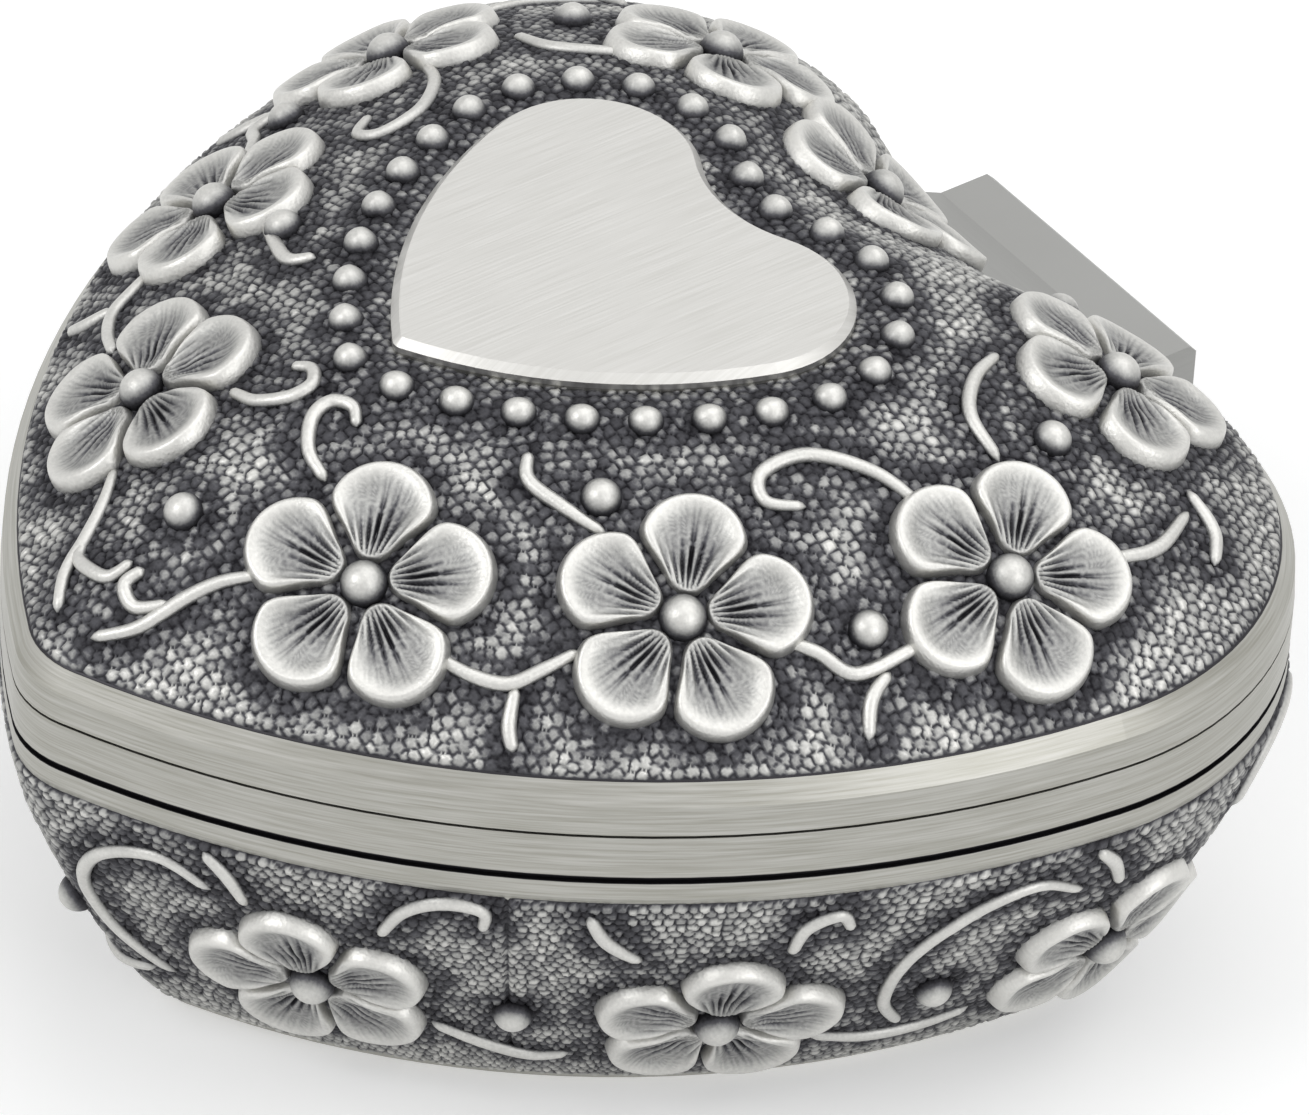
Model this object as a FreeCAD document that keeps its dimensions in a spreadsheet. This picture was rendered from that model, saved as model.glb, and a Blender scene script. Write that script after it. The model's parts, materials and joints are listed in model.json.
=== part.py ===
"""Heart-shaped wind-up music box: a cast box with a hinged lid over an 18-note musical movement.

Units are millimetres. X runs across the heart, the heart's tip points along -Y, the hinge is at +Y and
+Z is up. The origin is under the middle of the outline, on the surface that the box stands on.
"""
import FreeCAD, Part
import math
import os
import re
import Sketcher
from FreeCAD import Rotation, Vector

doc = FreeCAD.newDocument("music_box")

# ---------------------------------------------------------------- driving dimensions
SIZES = [
    # the heart outline at the seam, made of tangent arcs
    ("heart_width", 84.0),          # across both lobes
    ("heart_length", 78.0),         # from the tip to the top of the lobes
    ("lobe_radius", 21.7),
    ("side_radius", 67.5),
    ("tip_radius", 6.4),
    ("cleft_depth", 4.15),          # bottom of the cleft below the lobes' tops
    ("tip_fade", 0.35),             # how much the tip's radius shrinks per millimetre of inset
    # base
    ("base_height", 29.4),
    ("base_wall", 2.0),
    ("rim_height", 4.95),           # upright band of the base, below the seam
    ("groove_drop", 3.2),           # from the seam to the top of the fine groove
    ("groove_width", 0.45),
    ("groove_depth", 0.35),
    ("bowl_inset_1", 1.25),         # the bowl's sections: how far in, and how high up
    ("bowl_rise_1", 19.45),
    ("bowl_inset_2", 2.9),
    ("bowl_rise_2", 15.25),
    ("bowl_inset_3", 5.9),
    ("bowl_rise_3", 8.65),
    ("bowl_inset_4", 8.8),
    ("bowl_rise_4", 3.45),
    ("bowl_inset_5", 11.3),
    ("recess_depth", 7.2),          # open space under the floor, for the key
    ("floor_thickness", 1.6),
    ("ledge_width", 1.2),           # step that the cover plate lies on
    ("cover_thickness", 1.5),
    ("cover_drop", 0.3),            # top of the cover plate below the base's rim
    ("cover_gap", 0.25),
    ("cover_headroom", 0.5),        # least room between the spring's strap and the cover plate
    ("lip_height", 1.0),            # upstanding lip that centres the lid
    ("lip_thickness", 0.9),
    ("lip_gap", 0.35),
    ("lip_headroom", 0.3),          # lid over the lip
    # lid
    ("seam_gap", 0.2),
    ("lid_wall", 2.2),
    ("band_height", 3.5),           # smooth band round the lid
    ("band_shoulder", 2.1),         # height at which the band starts to curve in
    ("band_lean", 0.15),
    ("band_inset", 1.1),
    ("dome_radius", 49.0),          # the dome's profile is an arc
    ("dome_slope", 45.0),           # its steepness where it leaves the band, in degrees
    ("crown_inset", 21.9),          # how far in the dome's flat crown begins
    ("crown_margin", 2.5),          # flat of the crown outside the plaque
    ("dome_step_in", 1.2),          # the dome's inside surface stands this far in and down
    ("dome_step_down", 1.7),
    ("plaque_rise", 17.2),
    ("plaque_lobe_x", 8.22),
    ("plaque_lobe_radius", 7.26),
    ("plaque_lobe_y", 6.0),
    ("plaque_side_radius", 32.4),
    ("plaque_tip_radius", 0.9),
    ("plaque_tip_y", -14.6),
    ("plaque_cleft_radius", 9.7),
    ("plaque_bevel", 0.5),
    ("plaque_root", 0.5),           # how far the plaque reaches into the crown
    # hinge
    ("hinge_width", 21.8),
    ("hinge_reach", 5.2),           # back of the hinge block behind the lobes
    ("hinge_clearance", 0.4),       # least room between the block's front and the base's rim
    ("hinge_radius", 3.3),          # pin axis to the block's top and back
    ("block_rise", 0.2),            # top of the block above the lid's foot
    ("hinge_foot", 3.8),            # pin axis to the lower end of the block's back
    ("hinge_chamfer", 0.6),
    ("web_start", 31.0),            # sloped web that joins the block to the lid's back
    ("web_run", 6.2),
    ("web_rise", 3.1),
    ("tongue_width", 12.4),
    ("tongue_side_gap", 0.2),
    ("tongue_radius", 2.1),
    ("tongue_foot", 1.5),
    ("tongue_root", 31.2),
    ("pin_diameter", 2.0),
    ("pin_recess", 0.4),
    ("running_fit", 0.05),          # radial clearance of what turns or slides
    ("tight_fit", 0.01),            # radial clearance of what is pressed in
    ("overlap", 0.1),               # how far the features of one piece reach into each other
    ("beyond", 1.0),                # how far cuts run past the material
    ("tip_gap", 0.1),               # between a screw's or pivot's end and the end of its hole
    # movement: bedplate and train
    ("plate_thickness", 1.6),
    ("plate_front", -12.0),
    ("plate_back", 24.0),
    ("plate_corner", 3.0),
    ("plate_margin", 0.6),
    ("train_y", 8.5),               # line of the cylinder and of the winding arbor
    ("arbor_x", -11.5),
    ("end_gap", 0.3),               # end play between neighbours on the cylinder's arbor
    ("cylinder_radius", 6.5),
    ("cylinder_length", 18.0),
    ("cylinder_wall", 0.5),
    ("cylinder_clearance", 0.35),   # the cylinder's pins and gear over the bedplate
    ("needle_rise", 0.6),
    ("needle_diameter", 0.35),
    ("needle_rows", 4),
    ("needle_scatter", 0.618),      # spreads the pins as a tune does: each one's place in its row is
    ("needle_track_step", 5),       # a fraction got from its track and its row
    ("needle_row_step", 3),
    ("needle_margin", 0.12),        # share of a row left free at each end
    ("cylinder_arbor_diameter", 2.0),
    ("crown_inner", 9.2),           # ring of crown teeth on the drive gear
    ("crown_outer", 11.0),
    ("crown_teeth", 36),
    ("crown_disc", 1.2),
    ("pinion_teeth", 12),
    ("pinion_module", 0.55),
    ("pinion_width", 1.5),
    ("wheel_teeth", 36),
    ("wheel_module", 0.38),
    ("wheel_width", 1.0),
    ("leaf_teeth", 9),              # small pinion that the cylinder's gear drives
    ("worm_wheel_teeth", 20),
    ("worm_wheel_module", 0.35),
    ("worm_radius", 1.15),
    ("worm_core", 0.75),
    ("worm_pitch", 1.1),
    ("worm_turns", 5),
    ("worm_end", 0.25),             # core past the thread, in turns
    ("worm_root_share", 0.26),      # half the thread's width at its root, in pitches
    ("worm_crest_share", 0.08),     # and at its crest
    ("mesh_gap", 0.12),
    ("tooth_height", 1.0),          # tooth outside its pitch line, in modules
    ("tooth_depth", 1.25),          # and inside it
    ("tooth_root", 0.85),           # half a tooth's width at its root, in modules
    ("tooth_crest", 0.28),          # and at its crest
    ("crown_tooth_root", 0.62),     # the same for the drive gear's upright teeth
    ("crown_tooth_crest", 0.26),
    ("pinion_margin", 0.15),        # pinion's end outside the crown teeth's inner ends
    ("crown_edge", 0.1),            # crown teeth inside the gear's edge
    ("worm_setback", 0.6),          # worm's near side behind the right bearing's outer face
    ("bracket_thickness", 0.8),
    ("bracket_width", 6.0),
    ("bracket_crown", 2.4),         # bracket above the arbor's axis
    ("bracket_foot", 5.4),          # foot under the cylinder, and how wide it is
    ("foot_width", 4.4),
    ("tab_length", 4.6),            # feet of the strap and of the stop's bracket
    ("foot_thickness", 0.8),
    ("governor_diameter", 1.0),
    ("fan_radius", 3.3),
    ("fan_height", 1.4),
    ("fan_thickness", 0.35),
    ("fan_clearance", 0.5),
    # movement: spring motor
    ("spring_can_radius", 8.5),
    ("spring_can_wall", 0.5),
    ("spring_can_height", 10.4),
    ("spring_can_bore_gap", 0.3),   # arbor through the can and its lid
    ("spring_lift", 0.4),           # can above the crown teeth's tips
    ("spring_thickness", 0.25),
    ("spring_height", 8.0),
    ("spring_coils", 9),
    ("arbor_radius", 2.0),
    ("arbor_pivot_radius", 1.25),
    ("key_thread_radius", 1.5),
    ("strap_width", 6.0),
    ("strap_thickness", 0.8),
    ("strap_clearance", 0.5),
    ("ratchet_radius", 3.1),
    ("ratchet_teeth", 12),
    ("ratchet_thickness", 0.8),
    ("ratchet_gap", 0.15),          # ratchet wheel below the drive gear
    ("ratchet_foot", 0.2),          # ratchet wheel above the bearing's post
    ("ratchet_root", 0.6),          # tooth's height
    ("ratchet_tip", 0.1),           # tooth's blunt tip
    ("ratchet_face", 0.5),          # tooth's steep side, and its sloped one
    ("ratchet_slope", 0.6),
    ("click_x", 5.6),               # rivet of the click, from the arbor
    ("click_y", 2.6),
    ("click_rivet_radius", 0.8),
    ("click_root", 0.6),            # leaf's corner outside the rivet's middle
    ("click_shoulder_x", 0.4),      # leaf's other corner at the rivet
    ("click_shoulder_y", 0.3),
    ("click_toe", 0.4),             # leaf's outer edge clear of the teeth
    ("click_toe_y", 0.3),
    ("click_tip", 0.1),             # and its tip
    ("click_tip_y", 1.3),
    ("click_bite", 0.8),            # how far behind the tip its inner corner stands
    ("click_bite_y", 1.2),
    ("click_share", 0.75),          # click's thickness, as a share of the ratchet wheel's
    ("bush_radius", 3.2),
    # winding key
    ("key_span", 21.0),
    ("key_clearance", 0.6),         # key above the surface that the box stands on
    ("key_height", 5.2),
    ("key_thickness", 1.7),
    ("key_hub_radius", 2.7),
    ("key_hub_gap", 0.5),           # hub below the floor
    ("key_cap", 0.5),               # hub under the thread
    ("key_wing_share", 0.36),       # half the wing's height, as a share of the key's
    ("key_eye_share", 0.2),         # radius of the ears' eyes, likewise
    ("key_angle", 28.0),            # how the key is turned at rest
    # comb
    ("comb_teeth", 18),
    ("comb_pitch", 0.98),
    ("comb_slot", 0.22),
    ("comb_thickness", 0.9),
    ("comb_length", 12.2),
    ("comb_bass_slot", 7.4),
    ("comb_gap", 0.06),             # tooth tips clear of the pins' tips
    ("comb_margin", 0.5),
    ("comb_screw_back", 2.8),
    ("comb_screw_side", 4.4),
    ("comb_screw_grip", 3.6),
    ("comb_root_rise", 0.4),        # thick root above the teeth
    ("comb_root_treble", 0.3),      # its slanted front behind the slots' ends
    ("comb_root_bass", 1.4),
    # screws
    ("screw_radius", 1.0),
    ("screw_head_radius", 1.9),
    ("screw_head_height", 1.0),
    ("screw_grip", 1.2),
    ("screw_slot", 0.45),
    ("screw_play", 0.15),           # screws through the feet
    ("screw_edge", 0.1),            # head inside the foot's edge
    ("base_screw_play", 0.2),       # screws through the floor
    ("base_screw_tip_gap", 0.2),
    ("base_head_share", 1.5),       # height of their heads, as a share of the small screws'
    ("governor_screw_shift", 0.8),
    ("bracket_screw_inset", 2.0),
    ("base_screw_radius", 1.3),
    ("base_screw_head", 2.4),
    ("base_screw_length", 5.0),
    ("boss_radius", 2.5),
    ("boss_height", 2.4),
    ("screw_left_x", -19.5),
    ("screw_right_x", 21.6),
    ("screw_front_y", -8.5),
    ("screw_rear_x", -2.0),
    ("screw_rear_y", 18.5),
    # lid-operated stop
    ("stop_x", 10.5),
    ("stop_y", 28.3),
    ("stop_radius", 0.9),
    ("stop_reach", 4.3),            # top of the pin above the lid's foot
    ("stop_collar_radius", 1.6),
    ("stop_collar_height", 0.8),
    ("stop_travel", 0.85),
    ("lever_x", 6.0),
    ("lever_drop", 0.12),           # lever's middle below the fan's top
    ("lever_height", 1.2),
    ("lever_thickness", 0.8),
    ("lever_pivot_radius", 0.7),
    ("lever_eye_radius", 1.5),
    ("finger_gap", 0.2),
    ("finger_width", 0.7),
    ("post_width", 4.0),
    ("leaf_thickness", 0.3),
    ("leaf_width", 0.8),
    ("leaf_drop", 3.0),             # leaf spring's arm below the lever's middle
    ("leaf_hook", 1.0),
    ("cheek_half", 1.2),
    ("pivot_radius", 0.35),
]

# what follows from them
PLACES = [
    ("lobe_x", "heart_width / 2 - lobe_radius"),
    ("cleft_sink", "lobe_radius - cleft_depth"),
    ("cleft_radius", "(lobe_x^2 + cleft_sink^2 - lobe_radius^2) / (2 * cleft_depth)"),
    ("back_y", "(heart_length + hinge_reach) / 2"),
    ("tip_y", "-back_y"),
    ("lobe_y", "tip_y + heart_length - lobe_radius"),
    ("lid_foot", "base_height + seam_gap"),
    ("rim_foot", "base_height - rim_height"),
    ("floor_top", "recess_depth + floor_thickness"),
    ("lip_outer", "base_wall - lip_thickness"),
    ("cleft_y", "lobe_y + sqrt((lobe_radius + cleft_radius)^2 - lobe_x^2)"),
    ("rim_back", "cleft_y - sqrt(cleft_radius^2 - (hinge_width / 2)^2)"),
    ("hinge_y", "max(back_y - hinge_radius; rim_back + hinge_clearance + hinge_radius)"),
    ("hinge_back", "hinge_y + hinge_radius"),
    ("hinge_z", "lid_foot + block_rise - hinge_radius"),
    ("plate_top", "floor_top + plate_thickness"),
    ("wheel_radius", "wheel_teeth * wheel_module / 2"),
    ("leaf_radius", "leaf_teeth * wheel_module / 2"),
    ("pinion_radius", "pinion_teeth * pinion_module / 2"),
    ("worm_wheel_radius", "worm_wheel_teeth * worm_wheel_module / 2"),
    ("axis_z", "plate_top + cylinder_clearance + "
               "max(cylinder_radius + needle_rise; wheel_radius + tooth_height * wheel_module)"),
    ("pinion_start", "arbor_x + crown_inner + pinion_margin"),
    ("left_bracket", "pinion_start + pinion_width + end_gap"),
    ("tube_start", "left_bracket + bracket_thickness + end_gap"),
    ("tube_end", "tube_start + cylinder_length"),
    ("leaf_y", "train_y + wheel_radius + leaf_radius + mesh_gap"),
    ("cheek_room", "train_y + cylinder_radius + needle_rise + end_gap > leaf_y - cheek_half"
                   " ? bracket_thickness + end_gap : 0"),
    ("wheel_start", "tube_end + cheek_room + end_gap"),
    ("right_bracket", "wheel_start + wheel_width + end_gap"),
    ("worm_x", "right_bracket + bracket_thickness + worm_radius - worm_setback"),
    ("worm_y", "leaf_y + worm_wheel_radius + worm_radius + mesh_gap"),
    ("governor_left", "tube_end + cheek_room - bracket_thickness"),
    ("governor_right", "worm_x + worm_radius + end_gap"),
    ("plate_left", "arbor_x - crown_outer - plate_margin"),
    ("plate_right", "max(governor_right + bracket_thickness; right_bracket + foot_width) + plate_margin"),
    ("crown_tip", "axis_z - pinion_radius + tooth_depth * pinion_module - mesh_gap"),
    ("crown_root", "axis_z - pinion_radius - tooth_height * pinion_module - mesh_gap"),
    ("crown_foot", "crown_root - crown_disc"),
    ("can_foot", "crown_tip + spring_lift"),
    ("can_top", "can_foot + spring_can_height"),
    ("ledge_top", "max(base_height - cover_drop - cover_thickness; "
                  "can_top + strap_thickness + cover_headroom)"),
    ("worm_top", "axis_z + worm_pitch * worm_turns / 2"),
    ("wheel_tip", "axis_z + worm_wheel_radius + tooth_height * worm_wheel_module"),
    ("fan_foot", "max(worm_top; wheel_tip) + fan_clearance"),
    ("fan_top", "fan_foot + fan_height"),
    ("comb_tip_y", "train_y - cylinder_radius - needle_rise - comb_gap"),
    ("comb_back_y", "comb_tip_y - comb_length"),
    ("comb_width", "comb_teeth * comb_pitch"),
    ("comb_start", "(tube_start + tube_end - comb_width) / 2"),
    ("comb_foot", "axis_z - comb_thickness / 2"),
    ("key_top", "recess_depth - key_hub_gap"),
    ("lever_level", "fan_top - lever_drop"),
    ("leaf_level", "lever_level - leaf_drop"),
    ("stop_top", "lid_foot + stop_reach"),
    ("lever_top", "lever_level + lever_height / 2"),
    ("lever_foot", "lever_level - lever_height / 2"),
    ("finger_end", "worm_x - fan_radius - finger_gap"),
    ("bearing_screw_y", "train_y - bracket_width / 2 - bracket_foot + screw_head_radius + screw_edge"),
    ("ratchet_start", "crown_foot - ratchet_gap - ratchet_thickness"),
    ("strap_leg", "crown_outer + strap_clearance"),
    ("strap_screw", "strap_leg - tab_length / 2"),
    ("key_ear", "(key_span - key_height) / 2"),
    ("bridge_foot", "fan_top + fan_clearance"),
]

sheet = doc.addObject("Spreadsheet::Sheet", "Sizes")
for row, (alias, size) in enumerate(SIZES, 1):
    sheet.set("A%d" % row, alias)
    sheet.set("B%d" % row, str(size))
    sheet.setAlias("B%d" % row, alias)
places = doc.addObject("App::VarSet", "Places")
probe = doc.addObject("App::VarSet", "Probe")
probe.addProperty("App::PropertyFloat", "Reading")
OWNER = {alias: "Sizes" for alias, size in SIZES}


def tied(text):
    """An expression in plain words, with each word tied to the object that holds it."""
    return re.sub(r"[a-z][a-z_0-9]*", lambda m: OWNER[m[0]] + "." + m[0] if m[0] in OWNER else m[0], text)


for alias, text in PLACES:
    places.addProperty("App::PropertyFloat", alias)
    places.setExpression(alias, tied(text))
    OWNER[alias] = "Places"
doc.recompute()


def value(text):
    """The present value of an expression."""
    probe.setExpression("Reading", tied(text))
    probe.recompute()
    return probe.Reading


# where the screws stand
BASE_SCREWS = [("screw_left_x", "screw_front_y"), ("screw_right_x", "screw_front_y"),
               ("screw_rear_x", "screw_rear_y")]
FOOT_SCREWS = [("left_bracket + foot_width / 2", "bearing_screw_y"),
               ("right_bracket + foot_width / 2", "bearing_screw_y"),
               ("(governor_left + bracket_thickness + governor_right) / 2", "leaf_y + governor_screw_shift"),
               ("lever_x", "plate_back - foot_thickness - bracket_screw_inset")]
STRAP_SCREWS = [("arbor_x", "train_y - strap_screw"), ("arbor_x", "train_y + strap_screw")]
COMB_SCREWS = [("comb_start + comb_screw_side", "comb_back_y + comb_screw_back"),
               ("comb_start + comb_width - comb_screw_side", "comb_back_y + comb_screw_back")]

# ---------------------------------------------------------------- modelling helpers
UP = Vector(0, 0, 1)
ALONG_X = Rotation(Vector(0, 1, 0), 90)         # stands a piece's own +Z along the frame's +X
ALONG_Y = Rotation(Vector(1, 0, 0), -90)        # and along the frame's +Y
DOME_STEPS = 6
sub_parts = []


def place(thing, x="0", y="0", z="0", turn=None):
    """Puts a sub-part where its expressions say."""
    if turn is not None:
        thing.Placement = FreeCAD.Placement(Vector(), turn)
    for axis, text in zip("xyz", (x, y, z)):
        thing.setExpression("Placement.Base." + axis, tied(text))
    return thing


def new_body(label, x="0", y="0", z="0", turn=None):
    body = doc.addObject("PartDesign::Body", label)
    sub_parts.append(body)
    return place(body, x, y, z, turn)


def new_sketch(body, plane="XY", level="0"):
    """A sketch on one of the body's own planes, raised along the plane's normal."""
    sketch = body.newObject("Sketcher::SketchObject", body.Name + "_sketch")
    origin = body.Origin.OriginFeatures
    sketch.AttachmentSupport = [([o for o in origin if o.Role == plane + "_Plane"][0], "")]
    sketch.MapMode = "FlatFace"
    sketch.setExpression("AttachmentOffset.Base.z", tied(level))
    return sketch


def fix(sketch, kind, *args):
    """Adds a dimension whose size is the last argument, an expression."""
    index = sketch.addConstraint(Sketcher.Constraint(kind, *args[:-1], value(args[-1])))
    sketch.setExpression("Constraints[%d]" % index, tied(args[-1]))


def join(sketch, kind, *args):
    sketch.addConstraint(Sketcher.Constraint(kind, *args))


def disc(sketch, x, y, radius):
    circle = sketch.addGeometry(Part.Circle(Vector(value(x), value(y), 0), UP, value(radius)))
    fix(sketch, "Radius", circle, radius)
    fix(sketch, "DistanceX", -1, 1, circle, 3, x)
    fix(sketch, "DistanceY", -1, 1, circle, 3, y)


def polygon(sketch, corners):
    """A closed outline of straight lines through corners given as pairs of expressions."""
    points = [Vector(value(x), value(y), 0) for x, y in corners]
    first = sketch.GeometryCount
    for i, point in enumerate(points):
        sketch.addGeometry(Part.LineSegment(point, points[(i + 1) % len(points)]))
    for i, (x, y) in enumerate(corners):
        join(sketch, "Coincident", first + i, 1, first + (i - 1) % len(points), 2)
        fix(sketch, "DistanceX", -1, 1, first + i, 1, x)
        fix(sketch, "DistanceY", -1, 1, first + i, 1, y)


def box(sketch, x0, x1, y0, y1):
    polygon(sketch, [(x0, y0), (x1, y0), (x1, y1), (x0, y1)])


def heart(sketch, lobe_x, lobe_y, lobe, side, tip, tip_y, cleft):
    """A closed heart of six tangent arcs, each size an expression; tip_y is the tip's lowest point."""
    a, b, r, big, small, hollow = [value(t) for t in (lobe_x, lobe_y, lobe, side, tip, cleft)]
    tip_centre = Vector(0, value(tip_y) + small, 0)
    lobe_centre = Vector(a, b, 0)
    reach_lobe, reach_tip = big - r, big - small
    line = tip_centre - lobe_centre
    along = (reach_lobe ** 2 - reach_tip ** 2 + line.Length ** 2) / (2 * line.Length)
    across = math.sqrt(reach_lobe ** 2 - along ** 2)
    unit = line / line.Length
    side_centre = lobe_centre + unit * along + Vector(unit.y, -unit.x, 0) * across
    cleft_centre = Vector(0, b + math.sqrt((r + hollow) ** 2 - a ** 2), 0)
    low = math.atan2(tip_centre.y - side_centre.y, tip_centre.x - side_centre.x)
    high = math.atan2(lobe_centre.y - side_centre.y, lobe_centre.x - side_centre.x)
    top = math.atan2(cleft_centre.y - b, -a)

    def arc(centre, radius, start, end):
        return sketch.addGeometry(Part.ArcOfCircle(Part.Circle(centre, UP, radius), start, end))

    def flipped(point):
        return Vector(-point.x, point.y, 0)

    tip_arc = arc(tip_centre, small, -math.pi - low, low)
    right_side = arc(side_centre, big, low, high)
    right_lobe = arc(lobe_centre, r, high, top)
    cleft_arc = arc(cleft_centre, hollow, -top, top - math.pi)
    left_lobe = arc(flipped(lobe_centre), r, math.pi - top, math.pi - high)
    left_side = arc(flipped(side_centre), big, math.pi - high, math.pi - low)
    for one, end, other, start in ((tip_arc, 2, right_side, 1), (right_side, 2, right_lobe, 1),
                                   (right_lobe, 2, cleft_arc, 2), (cleft_arc, 1, left_lobe, 1),
                                   (left_lobe, 2, left_side, 1), (left_side, 2, tip_arc, 1)):
        join(sketch, "Tangent", one, end, other, start)
    join(sketch, "Equal", right_lobe, left_lobe)
    join(sketch, "Equal", right_side, left_side)
    join(sketch, "Symmetric", left_lobe, 3, right_lobe, 3, -2)
    join(sketch, "PointOnObject", tip_arc, 3, -2)
    fix(sketch, "Radius", right_lobe, lobe)
    fix(sketch, "Radius", right_side, side)
    fix(sketch, "Radius", tip_arc, tip)
    fix(sketch, "Radius", cleft_arc, cleft)
    fix(sketch, "DistanceX", -1, 1, right_lobe, 3, lobe_x)
    fix(sketch, "DistanceY", -1, 1, right_lobe, 3, lobe_y)
    fix(sketch, "DistanceY", -1, 1, tip_arc, 3, "(%s) + (%s)" % (tip_y, tip))


def outline(sketch, inset):
    """The box's heart, drawn in by an inset."""
    heart(sketch, "lobe_x", "lobe_y", "lobe_radius - (%s)" % inset, "side_radius - (%s)" % inset,
          "tip_radius - tip_fade * (%s)" % inset, "tip_y + (%s)" % inset, "cleft_radius + (%s)" % inset)


def plaque(sketch, outset):
    """The plaque's heart, drawn out by an outset."""
    heart(sketch, "plaque_lobe_x", "plaque_lobe_y", "plaque_lobe_radius + (%s)" % outset,
          "plaque_side_radius + (%s)" % outset, "plaque_tip_radius + (%s)" % outset,
          "plaque_tip_y - (%s)" % outset, "plaque_cleft_radius - (%s)" % outset)


def feature(body, kind, profile, **settings):
    """A PartDesign feature on a profile; text settings are expressions. Checks that it did something."""
    doc.recompute()
    before = body.Shape.Volume if body.Tip else 0.0
    made = body.newObject("PartDesign::" + kind, body.Name + "_" + kind.lower())
    made.Profile = profile
    for name, setting in settings.items():
        if isinstance(setting, str):
            made.setExpression(name, tied(setting))
        else:
            setattr(made, name, setting)
    doc.recompute()
    change = body.Shape.Volume - before
    wanted = -1 if kind in ("Pocket", "Groove", "SubtractiveLoft") else 1
    if change * wanted <= 0:
        raise ValueError("%s on %s changed its volume by %.4f" % (kind, body.Name, change))
    return made


def pad(body, sketch, length, **settings):
    return feature(body, "Pad", sketch, Length=length, **settings)


def pocket(body, sketch, length, **settings):
    return feature(body, "Pocket", sketch, Length=length, **settings)


def loft(body, sketches, cut=False):
    kind = "SubtractiveLoft" if cut else "AdditiveLoft"
    return feature(body, kind, sketches[0], Sections=sketches[1:], Ruled=True)


def turned(body, sketch):
    """Turns a profile drawn on the body's XZ plane a full turn about its Z axis."""
    return feature(body, "Revolution", sketch, ReferenceAxis=(sketch, ["V_Axis"]), Angle=360.0)


def around(body, original, count):
    """Repeats a feature round the body's Z axis."""
    pattern = body.newObject("PartDesign::PolarPattern", body.Name + "_pattern")
    pattern.Originals = [original]
    pattern.Axis = ([o for o in body.Origin.OriginFeatures if o.Role == "Z_Axis"][0], [""])
    pattern.Angle = 360.0
    pattern.setExpression("Occurrences", tied(count))
    body.Tip = pattern
    doc.recompute()
    return pattern


def section(body, draw, level, inset):
    sketch = new_sketch(body, "XY", level)
    draw(sketch, inset)
    return sketch


def level_pocket(body, draw, inset, bottom, depth):
    """Cuts a heart-shaped pocket that starts at one level and goes up."""
    pocket(body, section(body, draw, bottom, inset), depth, Reversed=True)


def drill(body, x, y, radius, bottom, depth):
    """Cuts a round hole upward from a level."""
    sketch = new_sketch(body, "XY", bottom)
    disc(sketch, x, y, radius)
    pocket(body, sketch, depth, Reversed=True)


def post(body, x, y, radius, bottom, length):
    sketch = new_sketch(body, "XY", bottom)
    disc(sketch, x, y, radius)
    pad(body, sketch, length)


def foot_hole(body, x, y):
    """Clearance hole for a small screw through a foot that stands on the bedplate."""
    drill(body, x, y, "screw_radius + screw_play", "plate_top - beyond", "foot_thickness + 2 * beyond")


def slab(body, x0, x1, y0, y1, bottom, length):
    sketch = new_sketch(body, "XY", bottom)
    box(sketch, x0, x1, y0, y1)
    pad(body, sketch, length)


# ---------------------------------------------------------------- the box
BOWL = [("0", "bowl_inset_5"), ("bowl_rise_4", "bowl_inset_4"), ("bowl_rise_3", "bowl_inset_3"),
        ("bowl_rise_2", "bowl_inset_2"), ("bowl_rise_1", "bowl_inset_1"), ("rim_foot", "0")]


def bowl_inset(level):
    """How far in the bowl's outside stands at a level: the largest that its straight runs give there."""
    runs = []
    for (low, low_in), (high, high_in) in zip(BOWL, BOWL[1:]):
        slope = "(%s - %s) / (%s - %s)" % (low_in, high_in, high, low)
        runs.append("(%s + (%s - (%s)) * %s)" % (high_in, high, level, slope))
    return "max(%s)" % "; ".join(runs)


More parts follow.
